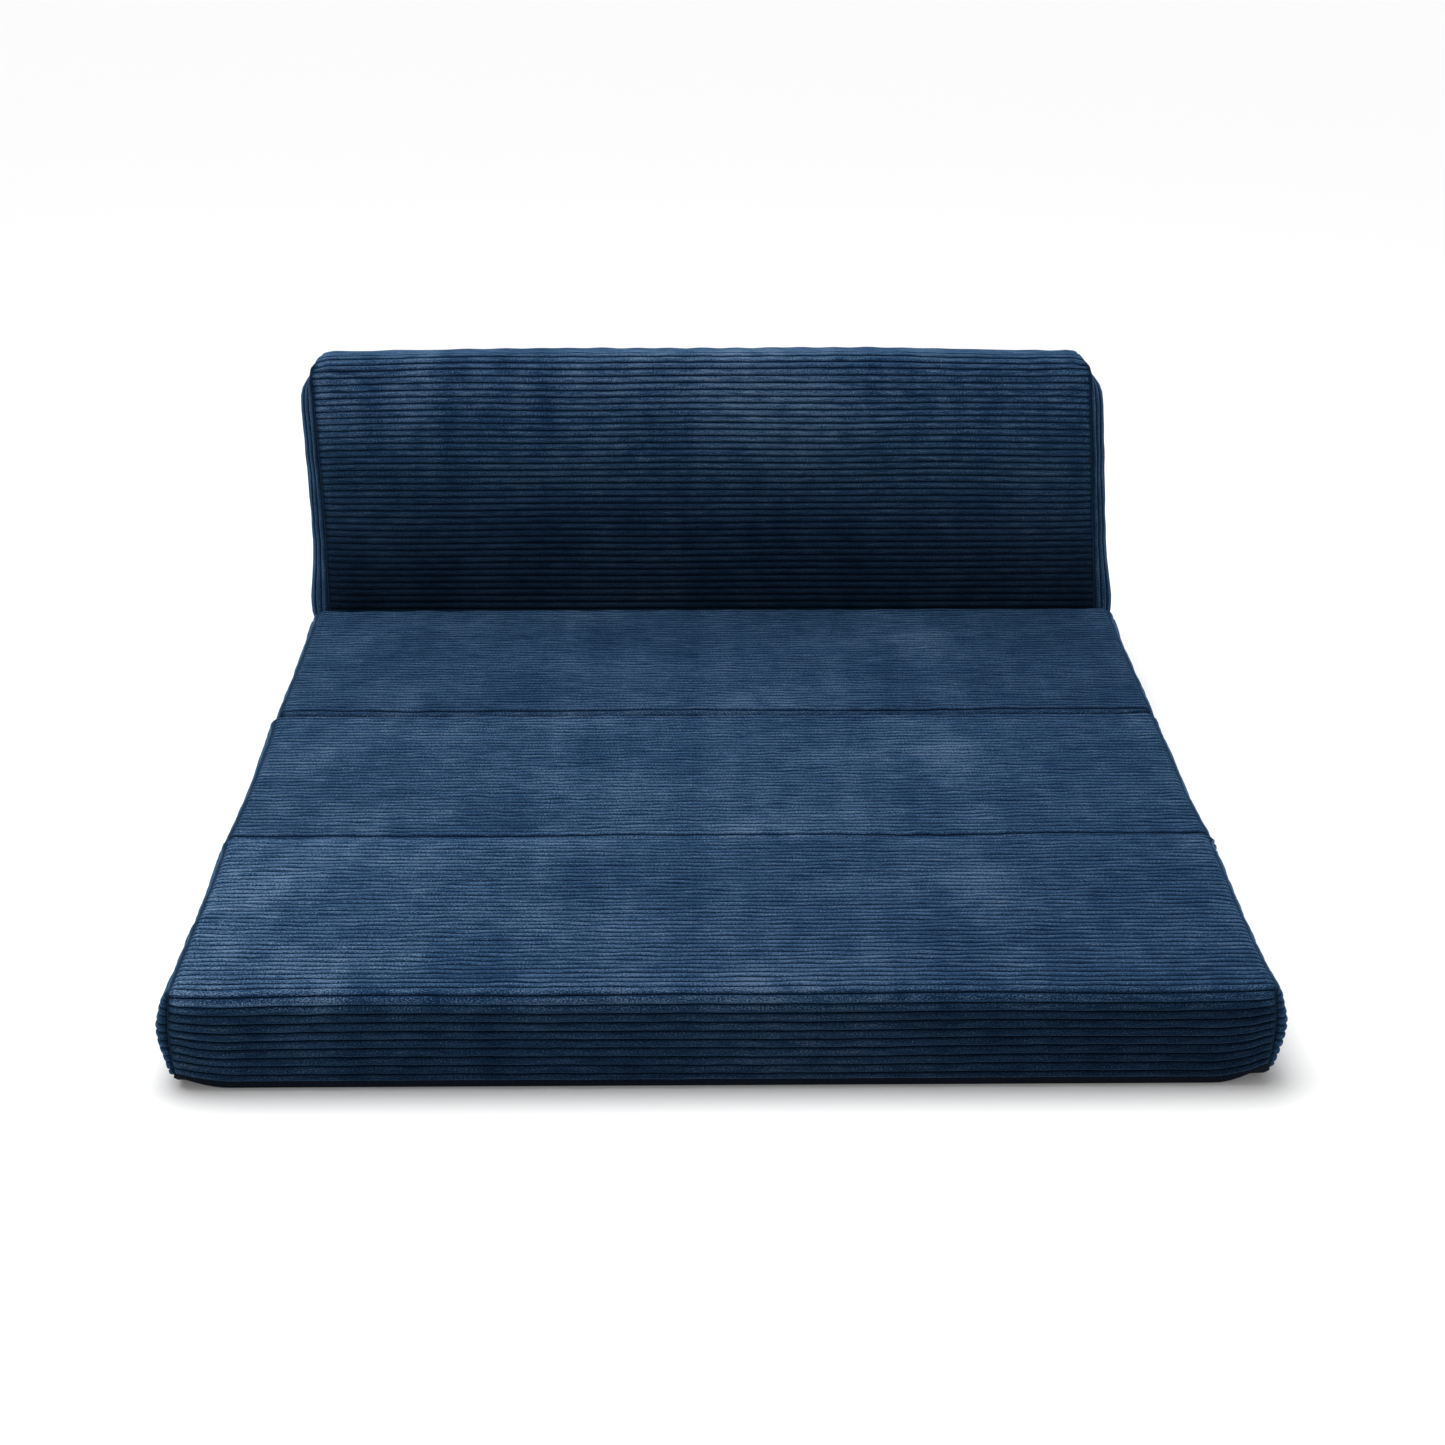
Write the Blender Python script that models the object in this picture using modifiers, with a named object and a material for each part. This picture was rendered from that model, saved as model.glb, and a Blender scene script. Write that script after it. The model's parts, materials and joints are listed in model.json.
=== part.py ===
"""Fold-out floor sofa mattress: three foam sections that lie in a row and a fourth that stands up as the back.

Metres, +Z up, +X to the right of someone facing the sofa, +Y towards the back. The origin is the centre
of the rear section's underside, on the floor. The back stands on a steel frame with a ratchet hinge at
each side, and the two loose sections fold in a Z on top of the rear one.
"""

import math

import bmesh
import bpy
from mathutils import Matrix

# ---------------------------------------------------------------- driving sizes
SEAT_WIDTH = 1.360          # seam to seam across the three lying sections
BACK_WIDTH = 1.336          # seam to seam across the back section
THICKNESS = 0.130           # every section
MIDDLE_LENGTH = 0.490
FRONT_LENGTH = 0.490
BACK_REACH = 0.475          # pivot to the back's far end
RECLINE = 8.0               # degrees that the standing back leans from upright

FOLD_GAP = 0.003            # between neighbouring sections
FOLD_LIFT = 0.0005          # a fold's axis stands off the faces that it brings together
FIT_GAP = 0.0004            # between pieces that touch

CORDUROY = 0.003            # cover cloth with its pile
BASE_CLOTH = 0.0015         # non-slip cloth underneath
BASE_LIP = 0.010            # how far the base cloth is turned up the sides
WADDING = 0.010
EDGE_RADIUS = 0.022         # cover, along its long edges
CORNER_RADIUS = 0.030       # base cloth's corners, in plan
FOAM_RADIUS = 0.028
FOAM_INSET = 0.025          # foam and wadding stop this far inside the seams
SEAT_BULGE = 0.016          # side borders stand out this far
BACK_BULGE = 0.030
BORDER_RIM = 0.0015         # the border's edge stands off the cover's by this much
BORDER_STEPS = 3

TUBE_RADIUS = 0.0095
TUBE_BEND = 0.060
PLATE = 0.003               # ratchet plates
RATCHET_INSET = 0.036       # lower plate's middle plane from the back's side seam
WHEEL_ROOT = 0.0225
WHEEL_TIP = 0.0270
WHEEL_TEETH = 16
PIVOT_RADIUS = 0.0050
PAWL_PIN_RADIUS = 0.0025
PAWL_TIP_RADIUS = 0.0025
PAWL_CLEARANCE = 0.0006
PAWL_PIN_STANDOFF = 0.0180  # pawl's pin from the tips of the wheel's teeth
PAWL_EYE_RADIUS = 0.0065
ARM_END_RADIUS = 0.0095
HOLE_CLEARANCE = 0.0004

ZIP_HEIGHT = 0.022
ZIP_TAPE = 0.0012
ZIP_RECESS = 0.0060         # the back's zip lies this far inside its rear face
SLIDER = (0.0075, 0.0110, 0.0034)   # across, along and out from the tape
PULL_LENGTH = 0.014
PULL_WIDTH = 0.006
PULL_THICKNESS = 0.0009
BACK_ZIP_LENGTH = 1.000
SEAM_RADIUS = 0.0012

# ---------------------------------------------------------------- worked out from them
HALF_SEAT = SEAT_WIDTH / 2
HALF_BACK = BACK_WIDTH / 2
MID = THICKNESS / 2
# The rear section is longer by what the middle one's corner needs to swing past in front of the back.
REAR_LENGTH = math.hypot(MIDDLE_LENGTH + FOLD_GAP / 2, THICKNESS + FOLD_LIFT) - FOLD_GAP / 2
CREASE_Y = REAR_LENGTH / 2
PIVOT_Y = CREASE_Y + FOLD_GAP + MID
UPPER_FOLD_Y = -REAR_LENGTH / 2 - FOLD_GAP / 2
UPPER_FOLD_Z = THICKNESS + FOLD_LIFT
MIDDLE_Y = UPPER_FOLD_Y - FOLD_GAP / 2 - MIDDLE_LENGTH / 2
LOWER_FOLD_Y = MIDDLE_Y - MIDDLE_LENGTH / 2 - FOLD_GAP / 2
LOWER_FOLD_Z = -FOLD_LIFT
FRONT_Y = LOWER_FOLD_Y - FOLD_GAP / 2 - FRONT_LENGTH / 2
BULLNOSE_RADIUS = MID - 0.002
FOAM_BOTTOM = BASE_CLOTH + FIT_GAP
WADDING_TOP = THICKNESS - CORDUROY - FIT_GAP
FOAM_TOP = WADDING_TOP - WADDING - FIT_GAP
SEAT_TUBE_Z = FOAM_BOTTOM + TUBE_RADIUS + 0.0015
BACK_TUBE_W = -MID + CORDUROY + 2 * FIT_GAP + TUBE_RADIUS + 0.0015
PLATE_X = HALF_BACK - RATCHET_INSET
WHEEL_X = PLATE_X + PLATE + FIT_GAP
SEAT_TUBE_X = PLATE_X - PLATE / 2 - FIT_GAP - TUBE_RADIUS
BACK_TUBE_X = WHEEL_X - PLATE / 2 - FIT_GAP - TUBE_RADIUS
CHANNEL = TUBE_RADIUS + 0.001          # half the width of a tube's channel in the foam
SLOT_HALF = 0.010                      # half the width of the slots that the ratchets pass through
ARM_REACH = WHEEL_TIP + 0.088
BACK_TUBE_START = ARM_REACH - 0.045
BACK_BAR_U = BACK_REACH - 0.060
BACK_CROSS_U = ARM_REACH + 0.050
PLATE_FAR_Y = CREASE_Y - 0.060
SEAT_BAR_Y = -REAR_LENGTH / 2 + 0.060
SEAT_CROSS_Y = CREASE_Y - 0.110
SLIDER_Z = BASE_LIP + FIT_GAP + ZIP_HEIGHT / 2
BEYOND = 0.100                         # cutters run past what they cut

# Turns a sheet that faces +Z to face +X.
FACING_X = Matrix(((0, 0, 1), (0, 1, 0), (-1, 0, 0)))

NAVY = (0.030, 0.055, 0.110)
DARK_NAVY = (0.012, 0.018, 0.035)
FOAM_YELLOW = (0.78, 0.68, 0.42)
WADDING_WHITE = (0.82, 0.82, 0.80)
STEEL_GREY = (0.18, 0.18, 0.19)
ZINC = (0.55, 0.55, 0.56)


# ---------------------------------------------------------------- scene and materials
def clear_scene():
    for obj in list(bpy.data.objects):
        bpy.data.objects.remove(obj)


def new_collection(name, hidden=False):
    collection = bpy.data.collections.new(name)
    bpy.context.scene.collection.children.link(collection)
    collection.hide_render = hidden
    return collection


def material(name, colour, roughness, metallic=0.0):
    made = bpy.data.materials.new(name)
    made.use_nodes = True
    shader = made.node_tree.nodes["Principled BSDF"]
    shader.inputs["Base Color"].default_value = (*colour, 1.0)
    shader.inputs["Roughness"].default_value = roughness
    shader.inputs["Metallic"].default_value = metallic
    return made


clear_scene()
PARTS = new_collection("floor_sofa_mattress")
CUTTERS = new_collection("cutters", hidden=True)


def empty(name, location, rotation=(0, 0, 0)):
    made = bpy.data.objects.new(name, None)
    made.location = location
    made.rotation_euler = rotation
    PARTS.objects.link(made)
    return made


def finish(obj, parent, location, colour, roughness, metallic=0.0, rotation=(0, 0, 0)):
    """Puts a finished piece on its parent, at a place in the parent's frame, with its own material."""
    PARTS.objects.link(obj)
    obj.parent = parent
    obj.location = location
    obj.rotation_euler = rotation
    obj.data.materials.append(material(obj.name, colour, roughness, metallic))
    return obj


def mesh_object(name, bm):
    mesh = bpy.data.meshes.new(name)
    bmesh.ops.recalc_face_normals(bm, faces=bm.faces)
    bm.to_mesh(mesh)
    bm.free()
    return bpy.data.objects.new(name, mesh)


def box_mesh(size, centre=(0, 0, 0)):
    bm = bmesh.new()
    bmesh.ops.create_cube(bm, size=1)
    bmesh.ops.scale(bm, vec=size, verts=bm.verts)
    bmesh.ops.translate(bm, vec=centre, verts=bm.verts)
    return bm


def round_edges(obj, width, segments):
    bevel = obj.modifiers.new("rounded edges", "BEVEL")
    bevel.width = width
    bevel.segments = segments
    bevel.limit_method = "ANGLE"
    obj.data.shade_smooth()
    obj.data.set_sharp_from_angle(angle=math.radians(50))


def thicken(obj, thickness, even=True):
    """Gives an open sheet its wall, on the inner side of its faces."""
    wall = obj.modifiers.new("wall", "SOLIDIFY")
    wall.thickness = thickness
    wall.offset = -1
    wall.use_even_offset = even


def cut_box(target, name, low, high):
    """Cuts the box between two corners, in the target's own frame, out of it."""
    size = [b - a for a, b in zip(low, high)]
    centre = [(a + b) / 2 for a, b in zip(low, high)]
    cutter = mesh_object(name, box_mesh(size, centre))
    CUTTERS.objects.link(cutter)
    cutter.parent = target
    cutter.hide_render = True
    cutter.display_type = "WIRE"
    difference = target.modifiers.new(name, "BOOLEAN")
    difference.object = cutter
    difference.operation = "DIFFERENCE"
    difference.solver = "EXACT"


# ---------------------------------------------------------------- outlines
def on_circle(centre, radius, degrees):
    angle = math.radians(degrees)
    return centre[0] + radius * math.cos(angle), centre[1] + radius * math.sin(angle)


def arc(centre, radius, start, end, steps):
    """Points on an arc, from one angle to another in degrees, both ends included."""
    turn = (end - start) / steps
    return [on_circle(centre, radius, start + i * turn) for i in range(steps + 1)]


def link_outline(first, first_radius, second, second_radius, steps=10):
    """The outline round two circles, as a belt would lie round them."""
    along = math.degrees(math.atan2(second[1] - first[1], second[0] - first[0]))
    apart = math.dist(first, second)
    lean = math.degrees(math.acos((first_radius - second_radius) / apart))
    return arc(second, second_radius, along - lean, along + lean, steps) + arc(
        first, first_radius, along + lean, along + 360 - lean, steps
    )


def flat_curve(name, outlines, thickness):
    """A flat piece of the given thickness: the first outline is its edge and the others are holes."""
    curve = bpy.data.curves.new(name, "CURVE")
    curve.dimensions = "2D"
    curve.fill_mode = "BOTH"
    curve.extrude = thickness / 2
    for outline in outlines:
        spline = curve.splines.new("POLY")
        spline.points.add(len(outline) - 1)
        for point, place in zip(spline.points, outline):
            point.co = (*place, 0, 1)
        spline.use_cyclic_u = True
    return bpy.data.objects.new(name, curve)


UPRIGHT = (math.radians(90), 0, math.radians(90))   # a flat piece's own X and Y become Y and Z


def as_mesh(obj, name):
    """The same piece as a mesh with its caps joined on, for a Boolean to cut."""
    bpy.context.scene.collection.objects.link(obj)
    bpy.context.view_layer.update()
    graph = bpy.context.evaluated_depsgraph_get()
    mesh = bpy.data.meshes.new_from_object(obj.evaluated_get(graph))
    bm = bmesh.new()
    bm.from_mesh(mesh)
    bmesh.ops.remove_doubles(bm, verts=bm.verts, dist=0.00001)
    bm.transform(obj.matrix_world)
    bpy.data.objects.remove(obj)
    return mesh_object(name, bm)


def tube(name, points, radius=TUBE_RADIUS):
    curve = bpy.data.curves.new(name, "CURVE")
    curve.dimensions = "3D"
    curve.bevel_depth = radius
    curve.bevel_resolution = 2
    curve.use_fill_caps = True
    spline = curve.splines.new("POLY")
    spline.points.add(len(points) - 1)
    for point, place in zip(spline.points, points):
        point.co = (*place, 1)
    spline.use_smooth = True
    return bpy.data.objects.new(name, curve)


def rivet(name, radius, grip):
    """A rivet along its own Z, its heads a fit gap clear of the grip that it holds together."""
    head = 0.0014
    half = grip / 2 + FIT_GAP
    profile = [
        (0, half + head),
        (radius * 1.4, half + head),
        (radius * 1.8, half),
        (radius, half),
        (radius, -half),
        (radius * 1.8, -half),
        (radius * 1.4, -half - head),
        (0, -half - head),
    ]
    mesh = bpy.data.meshes.new(name)
    edges = [(i, i + 1) for i in range(len(profile) - 1)]
    mesh.from_pydata([(x, 0, z) for x, z in profile], edges, [])
    turned = bpy.data.objects.new(name, mesh)
    screw = turned.modifiers.new("turned", "SCREW")
    screw.steps = 12
    screw.render_steps = 12
    screw.use_merge_vertices = True
    screw.merge_threshold = 0.0001
    screw.use_smooth_shade = True
    return turned


# ---------------------------------------------------------------- soft pieces
def foam_block(name, width, length, bottom, top):
    block = mesh_object(name, box_mesh((width, length, top - bottom), (0, 0, (top + bottom) / 2)))
    round_edges(block, FOAM_RADIUS, 2)
    return block


def wadding_sheet(name, width, length, top):
    return mesh_object(name, box_mesh((width, length, WADDING), (0, 0, top - WADDING / 2)))


def wrap_cover(name, half_width, outline):
    """A strip of cover cloth that follows an outline in Y and Z, across the whole width."""
    bm = bmesh.new()
    points = [bm.verts.new((-half_width, y, z)) for y, z in outline]
    edges = [bm.edges.new(pair) for pair in zip(points, points[1:])]
    swept = bmesh.ops.extrude_edge_only(bm, edges=edges)
    moved = [item for item in swept["geom"] if isinstance(item, bmesh.types.BMVert)]
    bmesh.ops.translate(bm, vec=(2 * half_width, 0, 0), verts=moved)
    cover = mesh_object(name, bm)
    thicken(cover, CORDUROY)
    cover.data.shade_smooth()
    cover.data.set_sharp_from_angle(angle=math.radians(50))
    return cover


def border_panel(name, length, height, bulge):
    """A side panel that stands out like a pillow: a rounded rectangle facing +X, inset and raised in steps."""
    bm = bmesh.new()
    bmesh.ops.create_grid(bm, x_segments=1, y_segments=1, size=0.5)
    bmesh.ops.scale(bm, vec=(height, length, 1), verts=bm.verts)
    bmesh.ops.bevel(bm, geom=bm.verts[:], offset=EDGE_RADIUS, segments=4, profile=0.5, affect="VERTICES")
    bmesh.ops.rotate(bm, verts=bm.verts, cent=(0, 0, 0), matrix=FACING_X)
    bmesh.ops.translate(bm, vec=(BORDER_RIM, 0, 0), verts=bm.verts)
    face = bm.faces[:]
    reach = EDGE_RADIUS * 0.85
    for i in range(BORDER_STEPS):
        before = math.radians(90 * i / BORDER_STEPS)
        after = math.radians(90 * (i + 1) / BORDER_STEPS)
        inward = reach * (math.cos(before) - math.cos(after))
        outward = (bulge - BORDER_RIM) * (math.sin(after) - math.sin(before))
        bmesh.ops.inset_individual(bm, faces=face, thickness=inward, depth=outward, use_even_offset=True)
    mesh = bpy.data.meshes.new(name)
    bm.to_mesh(mesh)
    bm.free()
    panel = bpy.data.objects.new(name, mesh)
    thicken(panel, CORDUROY, even=False)
    panel.data.shade_smooth()
    return panel


def base_tray(name, width, length):
    """Base cloth: a flat sheet with round corners, its edge turned up the sides."""
    bm = bmesh.new()
    bmesh.ops.create_grid(bm, x_segments=1, y_segments=1, size=0.5)
    bmesh.ops.scale(bm, vec=(width, length, 1), verts=bm.verts)
    bmesh.ops.bevel(bm, geom=bm.verts[:], offset=CORNER_RADIUS, segments=4, profile=0.5, affect="VERTICES")
    rim = bmesh.ops.extrude_edge_only(bm, edges=[edge for edge in bm.edges if edge.is_boundary])
    moved = [item for item in rim["geom"] if isinstance(item, bmesh.types.BMVert)]
    bmesh.ops.translate(bm, vec=(0, 0, BASE_LIP), verts=moved)
    tray = mesh_object(name, bm)
    thicken(tray, BASE_CLOTH)
    return tray


def seat_outline(length):
    """The lying sections' cover, from the bottom of the front end over the top to the rear end's."""
    end = length / 2
    low = BASE_LIP + FIT_GAP
    shoulder = THICKNESS - EDGE_RADIUS
    rear = arc((end - EDGE_RADIUS, shoulder), EDGE_RADIUS, 0, 90, 5)
    front = arc((-end + EDGE_RADIUS, shoulder), EDGE_RADIUS, 90, 180, 5)
    return [(end, low), *rear, *front, (-end, low)]


def back_outline():
    """The back's cover in its own frame, from the rear face's zip round the far end to the front face."""
    inner = BACK_REACH - EDGE_RADIUS
    side = MID - EDGE_RADIUS
    rear = arc((inner, -side), EDGE_RADIUS, -90, 0, 5)
    front = arc((inner, side), EDGE_RADIUS, 0, 90, 5)
    start = 2 * FIT_GAP + ZIP_HEIGHT + FIT_GAP
    return [(start, -MID), *rear, *front, (FIT_GAP, MID)]


# ---------------------------------------------------------------- zips
def zip_slider(name):
    """The slider, its length along Y and its outer face towards +X."""
    across, along, out = SLIDER
    slider = mesh_object(name, box_mesh((out, along, across), (out / 2, 0, 0)))
    round_edges(slider, 0.0010, 2)
    return slider


def zip_pull(name):
    """The pull tab, hanging down from the slider, with a hole near each end."""
    half = PULL_WIDTH / 2
    low = -PULL_LENGTH + half
    outline = link_outline((0, 0), half * 0.9, (0, low), half, 6)
    hole = arc((0, low), half * 0.5, 0, 330, 11)
    return flat_curve(name, [outline, hole], PULL_THICKNESS)


def side_zip(prefix, parent, centre, length):
    """A zip low on a section's right side: its tape, and the slider and pull at its closed end."""
    tape_length = length - 2 * CORNER_RADIUS
    face = HALF_SEAT + FIT_GAP
    tape = mesh_object(f"{prefix}_zip_tape", box_mesh((ZIP_TAPE, tape_length, ZIP_HEIGHT)))
    finish(tape, parent, (face + ZIP_TAPE / 2, centre[1], centre[2] + SLIDER_Z), DARK_NAVY, 0.8)
    closed = tape_length / 2 - SLIDER[1]
    place = (face + ZIP_TAPE + FIT_GAP, centre[1] + closed, centre[2] + SLIDER_Z)
    finish(zip_slider(f"{prefix}_zip_slider"), parent, place, ZINC, 0.35, 1.0)
    pull_place = (place[0] + SLIDER[2] + FIT_GAP + PULL_THICKNESS / 2, place[1], place[2])
    finish(zip_pull(f"{prefix}_zip_pull"), parent, pull_place, ZINC, 0.35, 1.0, UPRIGHT)


def back_zip(parent):
    """The back's zip, across the foot of its rear face, recessed so that the face still lies flat."""
    face = -MID + ZIP_RECESS
    middle = 2 * FIT_GAP + ZIP_HEIGHT / 2
    tape = mesh_object("back_zip_tape", box_mesh((BACK_ZIP_LENGTH, ZIP_HEIGHT, ZIP_TAPE)))
    finish(tape, parent, (0, middle, face + ZIP_TAPE / 2), DARK_NAVY, 0.8)
    closed = BACK_ZIP_LENGTH / 2 - SLIDER[1]
    outer = face - FIT_GAP - SLIDER[2]
    quarter = math.radians(90)
    slider = zip_slider("back_zip_slider")
    finish(slider, parent, (closed, middle, face - FIT_GAP), ZINC, 0.35, 1.0, (quarter, quarter, 0))
    pull_place = (closed, middle, outer - FIT_GAP - PULL_THICKNESS / 2)
    # The pull lies along the tape, clear of the round foot.
    finish(zip_pull("back_zip_pull"), parent, pull_place, ZINC, 0.35, 1.0, (0, 0, -quarter))


# ---------------------------------------------------------------- a lying section
def seat_section(prefix, parent, centre, length):
    """Everything that the three lying sections have in common. centre is in the parent's frame."""
    inner_width = SEAT_WIDTH - 2 * FOAM_INSET
    inner_length = length - 2 * FOAM_INSET
    foam = foam_block(f"{prefix}_foam", inner_width, inner_length, FOAM_BOTTOM, FOAM_TOP)
    finish(foam, parent, centre, FOAM_YELLOW, 0.9)
    wadding = wadding_sheet(f"{prefix}_wadding", inner_width, inner_length, WADDING_TOP)
    finish(wadding, parent, centre, WADDING_WHITE, 0.95)
    cover = wrap_cover(f"{prefix}_cover", HALF_SEAT, seat_outline(length))
    finish(cover, parent, centre, NAVY, 0.85)
    tray = base_tray(f"{prefix}_base_panel", SEAT_WIDTH, length)
    finish(tray, parent, centre, DARK_NAVY, 0.8)
    bottoms = {"left": BASE_LIP + FIT_GAP, "right": BASE_LIP + ZIP_HEIGHT + 2 * FIT_GAP}
    for side, turn in (("left", 180), ("right", 0)):
        bottom = bottoms[side]
        panel = border_panel(f"{prefix}_border_{side}", length, THICKNESS - bottom, SEAT_BULGE)
        out = math.copysign(HALF_SEAT + FIT_GAP, 90 - turn)
        place = (centre[0] + out, centre[1], centre[2] + (THICKNESS + bottom) / 2)
        finish(panel, parent, place, NAVY, 0.85, rotation=(0, 0, math.radians(turn)))
    side_zip(prefix, parent, centre, length)
    return foam, cover


def fold_seam(name, parent, place):
    """The stitched welt that joins two sections along a fold."""
    half = HALF_SEAT - CORNER_RADIUS
    seam = tube(name, [(-half, 0, 0), (half, 0, 0)], SEAM_RADIUS)
    return finish(seam, parent, place, DARK_NAVY, 0.85)


# ---------------------------------------------------------------- steel frames
def u_tube(name, half_width, open_end, bar, height):
    """A tube bent to a U: its legs run along Y from the open end to the bar that joins them."""
    inward = math.copysign(TUBE_BEND, open_end - bar)
    corner = (half_width - TUBE_BEND, bar + inward)
    right = arc(corner, TUBE_BEND, 0, math.copysign(90, -inward), 6)
    path = [(half_width, open_end), *right]
    path += [(-x, y) for x, y in reversed(path)]
    return tube(name, [(x, y, height) for x, y in path])


def cross_tube(name, half_width, y, height):
    half = half_width - TUBE_RADIUS - FIT_GAP
    return tube(name, [(-half, y, height), (half, y, height)])


def seat_frame(parent, foam, cover):
    """The rear section's frame, in channels that are open to the foam's underside."""
    frame = u_tube("seat_frame", SEAT_TUBE_X, CREASE_Y - 0.012, SEAT_BAR_Y, SEAT_TUBE_Z)
    finish(frame, parent, (0, 0, 0), STEEL_GREY, 0.4, 1.0)
    cross = cross_tube("seat_cross_tube", SEAT_TUBE_X, SEAT_CROSS_Y, SEAT_TUBE_Z)
    finish(cross, parent, (0, 0, 0), STEEL_GREY, 0.4, 1.0)
    roof = SEAT_TUBE_Z + CHANNEL
    notch_top = MID + WHEEL_TIP + 0.003
    for name, y in (("seat_bar_channel", SEAT_BAR_Y), ("seat_cross_channel", SEAT_CROSS_Y)):
        cut_box(foam, name, (-HALF_SEAT, y - CHANNEL, -BEYOND), (HALF_SEAT, y + CHANNEL, roof))
    for side in (-1, 1):
        edges = sorted((side * (SEAT_TUBE_X - TUBE_BEND), side * HALF_SEAT))
        near = sorted((side * (SEAT_TUBE_X - CHANNEL), side * HALF_SEAT))
        cut_box(
            foam,
            f"seat_bend_channel_{side}",
            (edges[0], SEAT_BAR_Y - CHANNEL, -BEYOND),
            (edges[1], SEAT_BAR_Y + TUBE_BEND + CHANNEL, roof),
        )
        cut_box(foam, f"seat_leg_channel_{side}", (near[0], SEAT_BAR_Y, -BEYOND), (near[1], CREASE_Y, roof))
        cut_box(
            foam,
            f"seat_ratchet_notch_{side}",
            (near[0], PLATE_FAR_Y - 0.014, -BEYOND),
            (near[1], CREASE_Y, notch_top),
        )
        middle = side * (PLATE_X + WHEEL_X) / 2
        cut_box(
            cover,
            f"cover_slot_{side}",
            (middle - SLOT_HALF, CREASE_Y - 2 * EDGE_RADIUS, BASE_LIP + 0.005),
            (middle + SLOT_HALF, CREASE_Y + BEYOND, notch_top),
        )


def back_frame(parent, foam):
    """The back's frame, in channels that are open to the foam's rear face."""
    frame = u_tube("back_frame", BACK_TUBE_X, BACK_TUBE_START, BACK_BAR_U, BACK_TUBE_W)
    finish(frame, parent, (0, 0, 0), STEEL_GREY, 0.4, 1.0)
    cross = cross_tube("back_cross_tube", BACK_TUBE_X, BACK_CROSS_U, BACK_TUBE_W)
    finish(cross, parent, (0, 0, 0), STEEL_GREY, 0.4, 1.0)
    floor = BACK_TUBE_W + CHANNEL
    for name, u in (("back_bar_channel", BACK_BAR_U), ("back_cross_channel", BACK_CROSS_U)):
        cut_box(foam, name, (-HALF_BACK, u - CHANNEL, -BEYOND), (HALF_BACK, u + CHANNEL, floor))
    for side in (-1, 1):
        edges = sorted((side * (BACK_TUBE_X - TUBE_BEND), side * HALF_BACK))
        near = sorted((side * (BACK_TUBE_X - CHANNEL), side * HALF_BACK))
        cut_box(
            foam,
            f"back_bend_channel_{side}",
            (edges[0], BACK_BAR_U - TUBE_BEND - CHANNEL, -BEYOND),
            (edges[1], BACK_BAR_U + CHANNEL, floor),
        )
        cut_box(foam, f"back_leg_channel_{side}", (near[0], 0, -BEYOND), (near[1], BACK_BAR_U, floor))
        cut_box(
            foam,
            f"back_ratchet_notch_{side}",
            (near[0], -BEYOND, -BEYOND),
            (near[1], ARM_REACH + 0.014, BEYOND),
        )


# ---------------------------------------------------------------- ratchet hinges
def toothed_wheel_outline(arm_end):
    """The ratchet's wheel with saw teeth, and the arm that it carries towards the back's frame."""
    along = math.degrees(math.atan2(arm_end[1], arm_end[0]))
    free = math.degrees(math.asin(ARM_END_RADIUS / WHEEL_ROOT)) + 6
    pitch = (360 - 2 * free) / WHEEL_TEETH
    wheel = []
    for i in range(WHEEL_TEETH):
        start = along + free + i * pitch
        wheel.append(on_circle((0, 0), WHEEL_TIP, start))
        wheel.append(on_circle((0, 0), WHEEL_ROOT, start + 0.8 * pitch))
    return arc(arm_end, ARM_END_RADIUS, along - 90, along + 90, 8) + wheel


def circle(centre, radius):
    return arc(centre, radius, 0, 337.5, 15)


def ratchet(side, root, back_pivot):
    """One hinge: lower plate and pawl on the seat's frame, toothed wheel and arm on the back's."""
    name = {-1: "left", 1: "right"}[side]
    pivot = (PIVOT_Y, MID)
    pawl_pin = on_circle(pivot, WHEEL_TIP + PAWL_PIN_STANDOFF, 205)
    pawl_tip = on_circle(pivot, WHEEL_TIP + PAWL_TIP_RADIUS + PAWL_CLEARANCE, 184)
    wheel_x = side * WHEEL_X
    lower = flat_curve(
        f"ratchet_plate_{name}",
        [
            link_outline(pivot, WHEEL_ROOT, (PLATE_FAR_Y, SEAT_TUBE_Z), ARM_END_RADIUS),
            circle(pivot, PIVOT_RADIUS + HOLE_CLEARANCE),
            circle(pawl_pin, PAWL_PIN_RADIUS + HOLE_CLEARANCE),
        ],
        PLATE,
    )
    finish(lower, root, (side * PLATE_X, 0, 0), ZINC, 0.4, 1.0, UPRIGHT)
    pawl = flat_curve(
        f"ratchet_pawl_{name}",
        [
            link_outline(pawl_pin, PAWL_EYE_RADIUS, pawl_tip, PAWL_TIP_RADIUS, 8),
            circle(pawl_pin, PAWL_PIN_RADIUS + HOLE_CLEARANCE),
        ],
        PLATE,
    )
    finish(pawl, root, (wheel_x, 0, 0), ZINC, 0.4, 1.0, UPRIGHT)
    arm_end = (ARM_REACH, BACK_TUBE_W)
    wheel = flat_curve(
        f"ratchet_arm_{name}",
        [toothed_wheel_outline(arm_end), circle((0, 0), PIVOT_RADIUS + HOLE_CLEARANCE)],
        PLATE,
    )
    finish(wheel, back_pivot, (wheel_x, 0, 0), ZINC, 0.4, 1.0, UPRIGHT)
    grip = 2 * PLATE + FIT_GAP
    middle = side * (PLATE_X + WHEEL_X) / 2
    for part, radius, (y, z) in (
        (f"ratchet_pivot_{name}", PIVOT_RADIUS, pivot),
        (f"pawl_pin_{name}", PAWL_PIN_RADIUS, pawl_pin),
    ):
        finish(rivet(part, radius, grip), root, (middle, y, z), ZINC, 0.3, 1.0, (0, math.radians(90), 0))


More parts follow.
